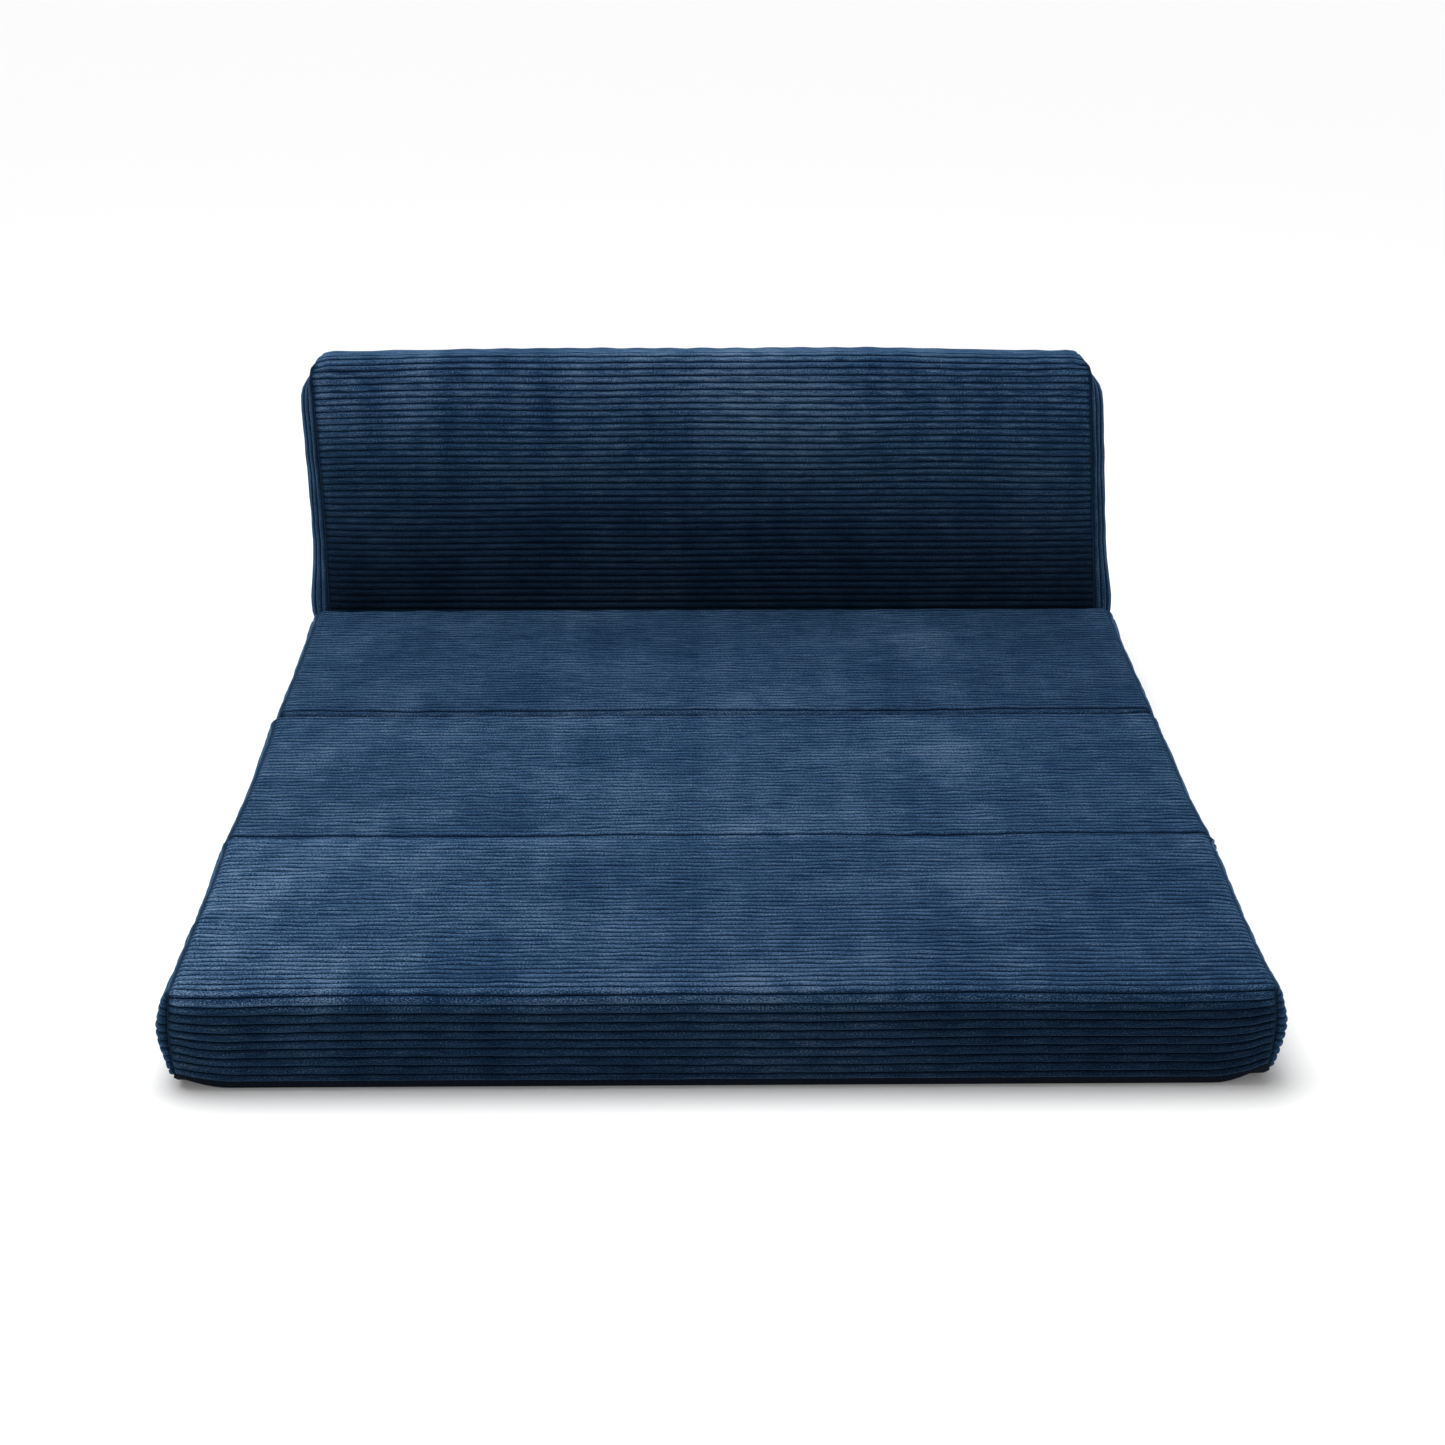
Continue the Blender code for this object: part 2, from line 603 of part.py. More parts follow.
# ---------------------------------------------------------------- the standing back
def bullnose(name):
    """The dark cloth round the back's foot: half a drum with closed ends, open towards the back."""
    bm = bmesh.new()
    rim = arc((0, 0), BULLNOSE_RADIUS, 90, 270, 16)
    end = bm.faces.new([bm.verts.new((-HALF_BACK, u, w)) for u, w in rim])
    swept = bmesh.ops.extrude_face_region(bm, geom=[end])
    moved = [item for item in swept["geom"] if isinstance(item, bmesh.types.BMVert)]
    bmesh.ops.translate(bm, vec=(BACK_WIDTH, 0, 0), verts=moved)
    bmesh.ops.recalc_face_normals(bm, faces=bm.faces)
    open_side = [face for face in bm.faces if face.normal.y > 0.9]
    bmesh.ops.delete(bm, geom=open_side, context="FACES_ONLY")
    drum = mesh_object(name, bm)
    thicken(drum, BASE_CLOTH)
    drum.data.shade_smooth()
    drum.data.set_sharp_from_angle(angle=math.radians(50))
    slot_low = -(BULLNOSE_RADIUS * 0.72)
    for side in (-1, 1):
        middle = side * (PLATE_X + WHEEL_X) / 2
        cut_box(
            drum,
            f"bullnose_slot_{side}",
            (middle - SLOT_HALF, -BEYOND, slot_low),
            (middle + SLOT_HALF, -0.008, BEYOND),
        )
    return drum


def back_foam_block():
    """The back's foam, with a round foot, its own X across the sofa and its own Y from foot to top."""
    half = HALF_BACK - FOAM_INSET
    top = FOAM_TOP - MID
    bottom = -MID + CORDUROY + 2 * FIT_GAP
    foot_radius = (top - bottom) / 2 - 0.002
    end = BACK_REACH - FOAM_INSET
    shoulder = FOAM_RADIUS * 0.7
    outline = (
        arc((end - shoulder, bottom + shoulder), shoulder, -90, 0, 3)
        + arc((end - shoulder, top - shoulder), shoulder, 0, 90, 3)
        + arc((0, (top + bottom) / 2), foot_radius, 90, 270, 12)
    )
    extruded = flat_curve("back_foam_outline", [outline], 2 * half)
    extruded.rotation_euler = UPRIGHT
    return as_mesh(extruded, "back_foam")


def back_section(parent):
    foam = back_foam_block()
    finish(foam, parent, (0, 0, 0), FOAM_YELLOW, 0.9)
    foot = ZIP_HEIGHT
    length = BACK_REACH - FOAM_INSET - foot
    wadding = wadding_sheet("back_wadding", BACK_WIDTH - 2 * FOAM_INSET, length, WADDING_TOP - MID)
    finish(wadding, parent, (0, foot + length / 2, 0), WADDING_WHITE, 0.95)
    cover = wrap_cover("back_cover", HALF_BACK, back_outline())
    finish(cover, parent, (0, 0, 0), NAVY, 0.85)
    finish(bullnose("back_foot_cloth"), parent, (0, 0, 0), DARK_NAVY, 0.85)
    border_length = BACK_REACH - 2 * FIT_GAP
    for side, turn in (("left", 180), ("right", 0)):
        panel = border_panel(f"back_border_{side}", border_length, THICKNESS, BACK_BULGE)
        out = math.copysign(HALF_BACK + FIT_GAP, 90 - turn)
        place = (out, 2 * FIT_GAP + border_length / 2, 0)
        finish(panel, parent, place, NAVY, 0.85, rotation=(0, 0, math.radians(turn)))
    back_zip(parent)
    zip_end = BACK_ZIP_LENGTH / 2 + 0.005
    zip_top = 2 * FIT_GAP + ZIP_HEIGHT + 0.003
    zip_floor = -MID + ZIP_RECESS + ZIP_TAPE + 2 * FIT_GAP
    cut_box(foam, "back_zip_recess", (-zip_end, -0.004, -BEYOND), (zip_end, zip_top, zip_floor))
    back_frame(parent, foam)


# ---------------------------------------------------------------- the whole mattress
def build():
    root = empty("rear_section_origin", (0, 0, 0))
    upper_fold = empty("upper_fold_axis", (0, UPPER_FOLD_Y, UPPER_FOLD_Z))
    lower_fold = empty("lower_fold_axis", (0, LOWER_FOLD_Y, LOWER_FOLD_Z))
    back_pivot = empty("back_pivot_axis", (0, PIVOT_Y, MID), (math.radians(90 - RECLINE), 0, 0))

    rear_foam, rear_cover = seat_section("rear", root, (0, 0, 0), REAR_LENGTH)
    middle_place = (0, MIDDLE_Y - UPPER_FOLD_Y, -UPPER_FOLD_Z)
    seat_section("middle", upper_fold, middle_place, MIDDLE_LENGTH)
    front_place = (0, FRONT_Y - LOWER_FOLD_Y, -LOWER_FOLD_Z)
    seat_section("front", lower_fold, front_place, FRONT_LENGTH)
    seam_height = THICKNESS - SEAM_RADIUS - FIT_GAP
    fold_seam("upper_fold_seam", root, (0, UPPER_FOLD_Y, seam_height))
    fold_seam("lower_fold_seam", upper_fold, (0, LOWER_FOLD_Y - UPPER_FOLD_Y, SEAM_RADIUS + FIT_GAP - UPPER_FOLD_Z))

    seat_frame(root, rear_foam, rear_cover)
    back_section(back_pivot)
    for side in (-1, 1):
        ratchet(side, root, back_pivot)


build()
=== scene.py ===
# %% [markdown]
# # A fold-out floor sofa mattress in wide-wale corduroy
# Three foam sections lie in a row and a fourth stands up as the back. The frame gives every size and
# joint. This script makes what a person sees and touches: the stuffed covers with their raised wales,
# the seams, the non-slip cloth underneath, the zips, and the finish of the steel inside.

# %% Load the frame
import json
import math

import bmesh
import bpy
import numpy as np
from mathutils import Matrix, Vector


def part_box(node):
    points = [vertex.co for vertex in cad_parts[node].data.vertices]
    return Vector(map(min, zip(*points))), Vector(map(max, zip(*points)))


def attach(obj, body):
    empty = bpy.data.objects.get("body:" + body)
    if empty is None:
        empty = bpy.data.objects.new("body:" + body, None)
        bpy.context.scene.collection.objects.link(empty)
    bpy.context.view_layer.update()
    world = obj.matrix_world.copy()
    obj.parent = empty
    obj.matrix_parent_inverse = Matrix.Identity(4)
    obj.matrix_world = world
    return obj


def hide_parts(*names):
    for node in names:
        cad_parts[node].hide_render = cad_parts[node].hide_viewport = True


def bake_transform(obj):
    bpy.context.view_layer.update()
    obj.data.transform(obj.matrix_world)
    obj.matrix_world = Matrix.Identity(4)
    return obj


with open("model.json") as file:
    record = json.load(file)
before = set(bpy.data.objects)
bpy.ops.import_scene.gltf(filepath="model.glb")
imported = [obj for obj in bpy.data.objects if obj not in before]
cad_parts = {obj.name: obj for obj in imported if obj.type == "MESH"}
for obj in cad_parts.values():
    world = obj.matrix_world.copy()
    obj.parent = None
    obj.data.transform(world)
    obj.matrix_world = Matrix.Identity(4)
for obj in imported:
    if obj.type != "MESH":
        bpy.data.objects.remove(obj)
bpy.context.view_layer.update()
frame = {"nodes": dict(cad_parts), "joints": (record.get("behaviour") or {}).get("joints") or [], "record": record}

NODES = frame["nodes"]
JOINTS = {joint["name"]: joint for joint in frame["joints"]}


# %% Small helpers for meshes
def placed(name, data):
    """A new object at the origin."""
    made = bpy.data.objects.new(name, data)
    bpy.context.scene.collection.objects.link(made)
    return made


def quads_of(number):
    """The four corners of every face, from a grid of point numbers."""
    corners = [number[:-1, :-1], number[1:, :-1], number[1:, 1:], number[:-1, 1:]]
    return np.stack(corners, axis=-1).reshape(-1, 4)


def face_outward(mesh, weld=0.0):
    """Turns the faces outward, first joining points that are closer than weld."""
    shape = bmesh.new()
    shape.from_mesh(mesh)
    if weld:
        bmesh.ops.remove_doubles(shape, verts=shape.verts, dist=weld)
    bmesh.ops.recalc_face_normals(shape, faces=shape.faces)
    shape.to_mesh(mesh)
    shape.free()


# %% [markdown]
# ## Shader maths as expressions
# One small class wraps a socket, so that `1 - mask * 0.5` adds the Math nodes by itself and a finish reads
# like a formula.


# %% Expressions on sockets
class Value:
    """A node's output that can be used in sums, products and powers."""

    def __init__(self, tree, socket):
        self.tree, self.socket = tree, socket

    def math(self, operation, *others):
        return node(self.tree, "ShaderNodeMath", {"operation": operation}, [self, *others])

    def __add__(self, other):
        return self.math("ADD", other)

    __radd__ = __add__

    def __mul__(self, other):
        return self.math("MULTIPLY", other)

    __rmul__ = __mul__

    def __sub__(self, other):
        return self.math("SUBTRACT", other)

    def __rsub__(self, other):
        return node(self.tree, "ShaderNodeMath", {"operation": "SUBTRACT"}, [other, self])

    def __pow__(self, other):
        return self.math("POWER", other)

    def clamped(self):
        return self.math("MAXIMUM", 0.0).math("MINIMUM", 1.0)


def node(tree, kind, settings=None, inputs=(), output=0):
    """Adds a node: its settings first, then values or links for its sockets, by place or by name."""
    made = tree.nodes.new(kind)
    for key, value in (settings or {}).items():
        setattr(made, key, value)
    pairs = inputs.items() if isinstance(inputs, dict) else enumerate(inputs)
    for key, value in pairs:
        if isinstance(value, Value):
            tree.links.new(value.socket, made.inputs[key])
        else:
            made.inputs[key].default_value = value
    return Value(tree, made.outputs[output])


# %% Small helpers for materials
def blank_material(name):
    made = bpy.data.materials.new(name)
    made.use_nodes = True
    return made, made.node_tree, made.node_tree.nodes["Principled BSDF"]


def noise(tree, vector, scale, detail=2.0, roughness=0.5):
    return node(tree, "ShaderNodeTexNoise", {}, {"Vector": vector, "Scale": scale, "Detail": detail,
                                               "Roughness": roughness}, "Fac")


def stretched(tree, vector, scale):
    return node(tree, "ShaderNodeMapping", {}, {"Vector": vector, "Scale": scale})


def mixed(tree, factor, first, second):
    """A colour between two colours or links."""
    inputs = {0: factor, 6: first if isinstance(first, Value) else (*first, 1),
              7: second if isinstance(second, Value) else (*second, 1)}
    return node(tree, "ShaderNodeMix", {"data_type": "RGBA"}, inputs, 2)


def set_look(tree, shader, links, **constants):
    for name, value in constants.items():
        shader.inputs[name.replace("_", " ").title().replace("Ior", "IOR")].default_value = value
    for name, value in links.items():
        tree.links.new(value.socket, shader.inputs[name])


def bumped(tree, height, strength, distance):
    return node(tree, "ShaderNodeBump", {}, {"Strength": strength, "Distance": distance, "Height": height})


# %% [markdown]
# ## Corduroy
# Corduroy is a woven ground with cut pile standing on it in parallel wales. The wales are real geometry
# here, so the finish adds what is smaller: painted shade in the grooves, speckled pile, streaks where it
# leans one way, and wide crushed patches that look lighter. Pile catches light at a glancing angle, hence the
# sheen.
# Every cover carries a map in metres, with its second direction across the wales, and two attributes:
# how high on a wale a point is, and a factor of painted light and shade that scales the colour.


# %% Corduroy colours
# Painted shade: the first blue is the shade painted into the grooves between the wales.
GROOVE_SHADE_BLUE = (0.0005, 0.0024, 0.0080)
DEEP_BLUE = (0.0026, 0.0115, 0.0320)
PILE_BLUE = (0.0170, 0.0455, 0.0950)
# The palest blue stands partly for crushed wear in the pile and partly for painted light.
WEAR_AND_LIGHT_BLUE = (0.0860, 0.1260, 0.1850)
print("four blues, the palest", WEAR_AND_LIGHT_BLUE)

# %% [markdown]
# Four noises of different size make the lean of the pile. The height on a wale paints shade into the grooves
# and, with the lean, picks the colour: groove shade, deep, pile, or the palest blue of crushed wear and painted
# light. A factor of painted light and shade then makes the whole lighter or darker, and paler where it is highest.


# %% Corduroy finish
def corduroy():
    made, tree, shader = blank_material("corduroy")
    cloth = node(tree, "ShaderNodeTexCoord", {}, (), "UV")
    height = node(tree, "ShaderNodeAttribute", {"attribute_name": "wale"}, (), "Fac")
    patches = noise(tree, stretched(tree, cloth, (2.2, 5.5, 1)), 1.0, 3.0, 0.55)
    bands = noise(tree, stretched(tree, cloth, (12.0, 2.4, 1)), 1.0, 3.0, 0.6)
    streaks = noise(tree, stretched(tree, cloth, (26.0, 190.0, 1)), 1.0, 2.0, 0.6)
    tufts = noise(tree, stretched(tree, cloth, (420.0, 700.0, 1)), 1.0, 2.0, 0.6)
    nap = node(tree, "ShaderNodeAttribute", {"attribute_name": "nap"}, (), "Fac")
    wide = (patches - 0.5) * 1.3 + (bands - 0.5) * 1.1
    lean = wide + (streaks - 0.5) * 1.5 + (tufts - 0.5) * 4.2 + 0.5
    # Painted shade: the colour darkens with the height on a wale, from its crest down into the grooves, with
    # random tone from the lean.
    crest = (height ** 1.8) * lean.clamped()
    colour = mixed(tree, (height ** 1.6 * 1.2).clamped(), GROOVE_SHADE_BLUE, DEEP_BLUE)
    colour = mixed(tree, (crest * 1.5).clamped(), colour, PILE_BLUE)
    # The palest blue goes where the random lean of the pile is high on the crests, which is crushed wear, and
    # where the painted light factor is high, which is painted light.
    wear_and_light = ((lean * height + (nap - 1.25) * 0.3 - 0.62) * 1.5).clamped()
    colour = mixed(tree, wear_and_light, colour, WEAR_AND_LIGHT_BLUE)
    # Painted light and shade: the colour is scaled by the factor stored on each point.
    colour = node(tree, "ShaderNodeVectorMath", {"operation": "SCALE"}, {"Vector": colour, "Scale": nap})
    relief = bumped(tree, tufts * 0.6 + streaks * 0.4, 0.7, 0.0016)
    set_look(tree, shader, {"Base Color": colour, "Roughness": 0.95 - wear_and_light * 0.2, "Normal": relief},
             sheen_weight=0.42, sheen_roughness=0.42, sheen_tint=(0.20, 0.48, 0.90, 1),
             specular_ior_level=0.03)
    return made


CORDUROY = corduroy()
print("made", CORDUROY.name)

# %% [markdown]
# ## The plainer finishes
# Woven tape and base cloth share one recipe: two crossed waves make the threads. The base cloth also has
# rows of small grip dots. Foam is porous, wadding is a tangle of fibres, and the steel is either painted
# or zinc plated with fine rolling marks.


# %% Woven cloth
def woven(name, colour, light, pitch, dots=0.0):
    """Two crossed waves as threads. dots is the spacing of the grip dots, or 0 for none."""
    made, tree, shader = blank_material(name)
    place = node(tree, "ShaderNodeTexCoord", {}, (), "Object")
    turned = node(tree, "ShaderNodeMapping", {}, {"Vector": place, "Rotation": (0.0, 0.0, math.pi / 4)})
    wave = {"Scale": 0.31 / pitch, "Distortion": 0.6, "Detail": 1.0}
    across = node(tree, "ShaderNodeTexWave", {"bands_direction": "X"}, {"Vector": turned, **wave}, "Fac")
    along = node(tree, "ShaderNodeTexWave", {"bands_direction": "Y"}, {"Vector": turned, **wave}, "Fac")
    thread = across * along
    cloud = noise(tree, place, 14.0, 3.0)
    tone = (thread * 0.7 + cloud * 0.5).clamped()
    height = thread
    if dots:
        cells = node(tree, "ShaderNodeTexVoronoi", {"feature": "F1"},
                     {"Vector": place, "Scale": 1 / dots, "Randomness": 0.0}, "Distance")
        dot = ((0.26 - cells) * 12.0).clamped()
        height = thread * 0.4 + dot
        tone = (tone + dot * 0.35).clamped()
    links = {"Base Color": mixed(tree, tone, colour, light), "Roughness": 0.95 - thread * 0.15,
             "Normal": bumped(tree, height, 0.5, 0.0006)}
    set_look(tree, shader, links, specular_ior_level=0.12)
    return made


# %% Foam, wadding and steel
def porous(name, colour, light, scale):
    """Cells of one size, as in foam."""
    made, tree, shader = blank_material(name)
    place = node(tree, "ShaderNodeTexCoord", {}, (), "Object")
    cells = node(tree, "ShaderNodeTexVoronoi", {}, {"Vector": place, "Scale": scale}, "Distance")
    cloud = noise(tree, place, 30.0, 4.0)
    tone = (cells * 0.6 + cloud * 0.6).clamped()
    set_look(tree, shader, {"Base Color": mixed(tree, tone, colour, light), "Roughness": 0.9 + cells * 0.1,
                            "Normal": bumped(tree, cells, 0.5, 0.001)})
    return made


def metal(name, colour, light, roughness, metallic):
    """Fine marks along one direction under a faint cloud."""
    made, tree, shader = blank_material(name)
    place = node(tree, "ShaderNodeTexCoord", {}, (), "Object")
    marks = noise(tree, stretched(tree, place, (60.0, 900.0, 900.0)), 1.0, 3.0)
    cloud = noise(tree, place, 45.0, 3.0)
    tone = (marks * 0.6 + cloud * 0.5).clamped()
    set_look(tree, shader, {"Base Color": mixed(tree, tone, colour, light),
                            "Roughness": roughness + (cloud - 0.5) * 0.2,
                            "Normal": bumped(tree, marks, 0.15, 0.0003)}, metallic=metallic)
    return made


# %% One finish for each slot
FINISHES = {
    "corduroy": CORDUROY,
    "base_cloth": woven("base_cloth", (0.0012, 0.0026, 0.0065), (0.0060, 0.0100, 0.0210), 0.0011,
                        dots=0.009),
    "zip_tape": woven("zip_tape", (0.0050, 0.0100, 0.0220), (0.0150, 0.0260, 0.0480), 0.0009),
    "seam_thread": woven("seam_thread", (0.0040, 0.0120, 0.0280), (0.0140, 0.0340, 0.0680), 0.0010),
    "foam": porous("foam", (0.60, 0.48, 0.22), (0.85, 0.76, 0.50), 900.0),
    "wadding": porous("wadding", (0.70, 0.70, 0.68), (0.90, 0.90, 0.88), 400.0),
    "zip_metal": metal("zip_metal", (0.10, 0.11, 0.13), (0.30, 0.31, 0.34), 0.34, 0.9),
    "painted_tube": metal("painted_tube", (0.020, 0.020, 0.023), (0.055, 0.055, 0.060), 0.42, 0.2),
    "zinc_plate": metal("zinc_plate", (0.40, 0.40, 0.42), (0.68, 0.68, 0.70), 0.36, 1.0),
}
print("finishes", ", ".join(FINISHES))


# %% [markdown]
# The frame's own parts are dressed at once. The foams, the steel and the zip sliders are kept as they are.


# %% Dress a piece
def dress(piece, body, slot):
    """Gives a new piece the finish of a slot and, if one is named, the body it rides on."""
    piece.data.materials.clear()
    piece.data.materials.append(FINISHES[slot])
    if body:
        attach(piece, body)
    return piece


for row in frame["record"]["subparts"]:
    carried = NODES[row["node"]]
    carried.data.materials.clear()
    carried.data.materials.append(FINISHES[row["material_slot"]])
bpy.ops.object.select_all(action="DESELECT")

# %% [markdown]
# ## The shape of one cushion
# A section is a foam block in a sewn cover: one strip of cloth runs up one end, over the top and down the
# other end, and a side border closes each side. The cover is first a coarse box of cloth with rounded
# corners. Its lattice is closer near the edges, where the cloth turns. A cushion has its own axes: x
# across, a along its length and b through its thickness.

# %% Sizes shared by the cushions
WALE = 0.0115            # from one groove of the corduroy to the next
WALE_HEIGHT = 0.0030
WALE_STEPS = np.array([0.0, 0.05, 0.12, 0.25, 0.41, 0.59, 0.75, 0.88, 0.95])
COLUMN = 0.013           # between the points along a wale
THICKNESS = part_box("rear_cover")[1][2]
RISE = 0.0009            # between the stuffed lattice and the ground of the corduroy
CROWN = 0.0010           # how far a lying section's middle stands above its seams
PROUD = WALE_HEIGHT + RISE
print("a wale every", WALE, "m, cushions", round(THICKNESS, 3), "m thick")

# %% [markdown]
# The lattice needs places that crowd towards both ends, round corners, and a wobble that repeats.


# %% Places, corners and wobble
def levels(low, high, close, step):
    """Places from low to high, closer together near both ends."""
    inner = np.linspace(low + close, high - close, max(2, round((high - low - 2 * close) / step) + 1))
    return np.concatenate([[low, low + 0.42 * close], inner, [high - 0.42 * close, high]])


def round_corner(first, second, half_first, half_second, radius):
    """Moves points outside a rounded corner onto it, ring by ring, in two of the three directions."""
    over = np.stack([np.abs(first) - (half_first - radius), np.abs(second) - (half_second - radius)])
    inside = np.clip(over, 0, None)
    length = np.maximum(np.hypot(*inside), 1e-12)
    scale = np.where((over > 0).all(0), inside.max(0) / length, 1)
    moved = [
        np.where(over[k] > 0, np.sign(value) * (np.abs(value) - inside[k] * (1 - scale)), value)
        for k, value in enumerate((first, second))
    ]
    return moved


def smooth_noise(points, size, seed):
    """A gentle, repeatable wobble between about -1 and 1 over places given in metres."""
    draws = np.random.default_rng(seed)
    total = np.zeros(points.shape[:-1])
    for k in range(7):
        wave = draws.normal(size=points.shape[-1])
        wave *= 2 * math.pi / size / np.linalg.norm(wave) * draws.uniform(0.6, 1.5)
        total += np.sin(points @ wave + draws.uniform(0, 2 * math.pi))
    return total / 3.2


# %% The coarse box of cloth
def lattice(width, length, low, high, plan_radius, edge_radius, low_radius=0.004, open_foot=False):
    """The closed coarse box as grids of places (x, a, b): the wrap, the two borders and the base."""
    x = levels(-width / 2, width / 2, 0.028, 0.034)
    a = levels(-length / 2, length / 2, 0.024, 0.026)
    b = levels(low, high, 0.020, 0.024)
    ends = [np.full_like(b, length / 2), a[::-1][1:-1], np.full_like(b, -length / 2)]
    heights = [b, np.full(len(a) - 2, high), b[::-1]]
    path = np.stack([np.concatenate(ends), np.concatenate(heights)], axis=1)
    wrap = np.zeros((len(path), len(x), 3))
    wrap[..., 0] = x
    wrap[..., 1:] = path[:, None]
    grids = {"wrap": wrap}
    for name, side in (("left", -1), ("right", 1)):
        border = np.zeros((len(b), len(a), 3))
        border[..., 0] = side * width / 2
        border[..., 1] = a
        border[..., 2] = b[:, None]
        grids[name] = border
    base = np.zeros((len(a), len(x), 3))
    base[..., 0] = x
    base[..., 1] = a[:, None]
    base[..., 2] = low
    grids["base"] = base
    flat = np.concatenate([grid.reshape(-1, 3) for grid in grids.values()])
    points, index = np.unique(np.round(flat, 6), axis=0, return_inverse=True)
    index = index.reshape(-1)
    numbered, start = {}, 0
    for name, grid in grids.items():
        count = grid.shape[0] * grid.shape[1]
        numbered[name] = index[start:start + count].reshape(grid.shape[:2])
        start += count
    middle = (low + high) / 2
    px, pa, pb = points.T.copy()
    keep = open_foot & (pa < 0)
    half_height = (high - low) / 2
    ra, lifted = round_corner(pa, pb - middle, length / 2, half_height, edge_radius)
    ra_low, lifted_low = round_corner(pa, pb - middle, length / 2, half_height, low_radius)
    ra, lifted = np.where(pb > middle, ra, ra_low), np.where(pb > middle, lifted, lifted_low)
    pa, pb = np.where(keep, pa, ra), np.where(keep, pb, lifted + middle)
    rx, ra = round_corner(px, pa, width / 2, length / 2, plan_radius)
    px, pa = np.where(keep, px, rx), np.where(keep, pa, ra)
    return np.stack([px, pa, pb], axis=1), numbered


# %% [markdown]
# ## Stuffing it
# The coarse box becomes cloth under a little pressure for twenty frames, so its panels crown and its
# seams draw in as they do over foam. A cap keeps each panel firm, and a seam moves less than a panel.

# %% Stuff the lattice
PRESSURE = 4
FRAMES = 20
SEAM_CAP = 0.005         # how far a seam may move


def stuffed(points, numbered, caps, slack):
    """The lattice after a short cloth simulation. caps says how far each grid's points may move."""
    allowed = np.zeros(len(points))
    for name, cap in caps.items():
        allowed[numbered[name].ravel()] = np.maximum(allowed[numbered[name].ravel()], cap)
    for name in ("left", "right", "wrap", "base"):
        grid = numbered[name]
        rim = np.concatenate([grid[0], grid[-1], grid[:, 0], grid[:, -1]])
        allowed[rim] = np.minimum(allowed[rim], SEAM_CAP)
    quads = []
    for grid in numbered.values():
        quads += quads_of(grid).tolist()
    mesh = bpy.data.meshes.new("pillow")
    mesh.from_pydata(points.tolist(), [], quads)
    face_outward(mesh)
    pillow = placed("pillow", mesh)
    cloth = pillow.modifiers.new("cloth", "CLOTH")
    cloth.settings.use_pressure = True
    cloth.settings.uniform_pressure_force = PRESSURE
    cloth.settings.shrink_min = -slack
    cloth.settings.effector_weights.gravity = 0
    cloth.point_cache.frame_start = 1
    cloth.point_cache.frame_end = FRAMES
    for step in range(1, FRAMES + 1):
        bpy.context.scene.frame_set(step)
    shown = pillow.evaluated_get(bpy.context.evaluated_depsgraph_get()).to_mesh()
    moved = np.zeros(len(points) * 3, np.float32)
    shown.vertices.foreach_get("co", moved)
    bpy.data.objects.remove(pillow)
    bpy.context.scene.frame_set(1)
    shift = moved.reshape(-1, 3).astype(float) - points
    far = np.maximum(np.linalg.norm(shift, axis=1), 1e-9)
    limit = np.maximum(allowed, 1e-6)
    return points + shift * (limit * np.tanh(far / limit) / far)[:, None]


# %% [markdown]
# The stuffed lattice is read again on a much finer grid, by smooth curves through its points.


# %% Smooth curves through a grid
def cubic(grid, at):
    """Reads a grid's rows at fractional places."""
    last = len(grid) - 1
    before = np.clip(np.floor(at).astype(int), 0, last - 1)
    t = (at - before).reshape(at.shape + (1,) * (grid.ndim - at.ndim))
    padded = np.concatenate([[2 * grid[0] - grid[1]], grid, [2 * grid[-1] - grid[-2]]])
    if at.ndim == 2:
        columns = np.arange(grid.shape[1])[None, :]
        p0, p1, p2, p3 = (padded[before + k, columns] for k in range(4))
    else:
        p0, p1, p2, p3 = (padded[before + k] for k in range(4))
    bend = 2 * p0 - 5 * p1 + 4 * p2 - p3 + t * (3 * (p1 - p2) + p3 - p0)
    return p1 + 0.5 * t * (p2 - p0 + t * bend)


def refined(grid, rows, columns):
    """The grid read at that many even places in both directions."""
    fine = cubic(grid, np.linspace(0, len(grid) - 1, rows)).transpose(1, 0, 2)
    return cubic(fine, np.linspace(0, len(fine) - 1, columns)).transpose(1, 0, 2)


def path_length(path):
    """How far along a path each of its points lies."""
    return np.concatenate([[0], np.cumsum(np.linalg.norm(np.diff(path, axis=0), axis=1))])


def run_length(grid):
    """How far along each row of points lies, on the middle of the grid."""
    return path_length(grid[:, grid.shape[1] // 2])


def pairs(*values):
    """Grids of single numbers joined into one grid of places."""
    return np.stack(np.broadcast_arrays(*values), axis=-1)


# %% [markdown]
# ## Raising the wales
# A sheet gets as many whole wales as its length holds, with rows on both flanks of each one, and they
# are raised along the sheet's normals. They wander a little, swell and thin, and fade out at the seams,
# where the cloth is sewn down.


# %% A sheet with wales
def wale_profile(phase):
    """Height over one wale: round on top, steep at the grooves."""
    away = np.abs(phase - 0.5) * 2
    return (1 - away ** 2.8) ** 0.72


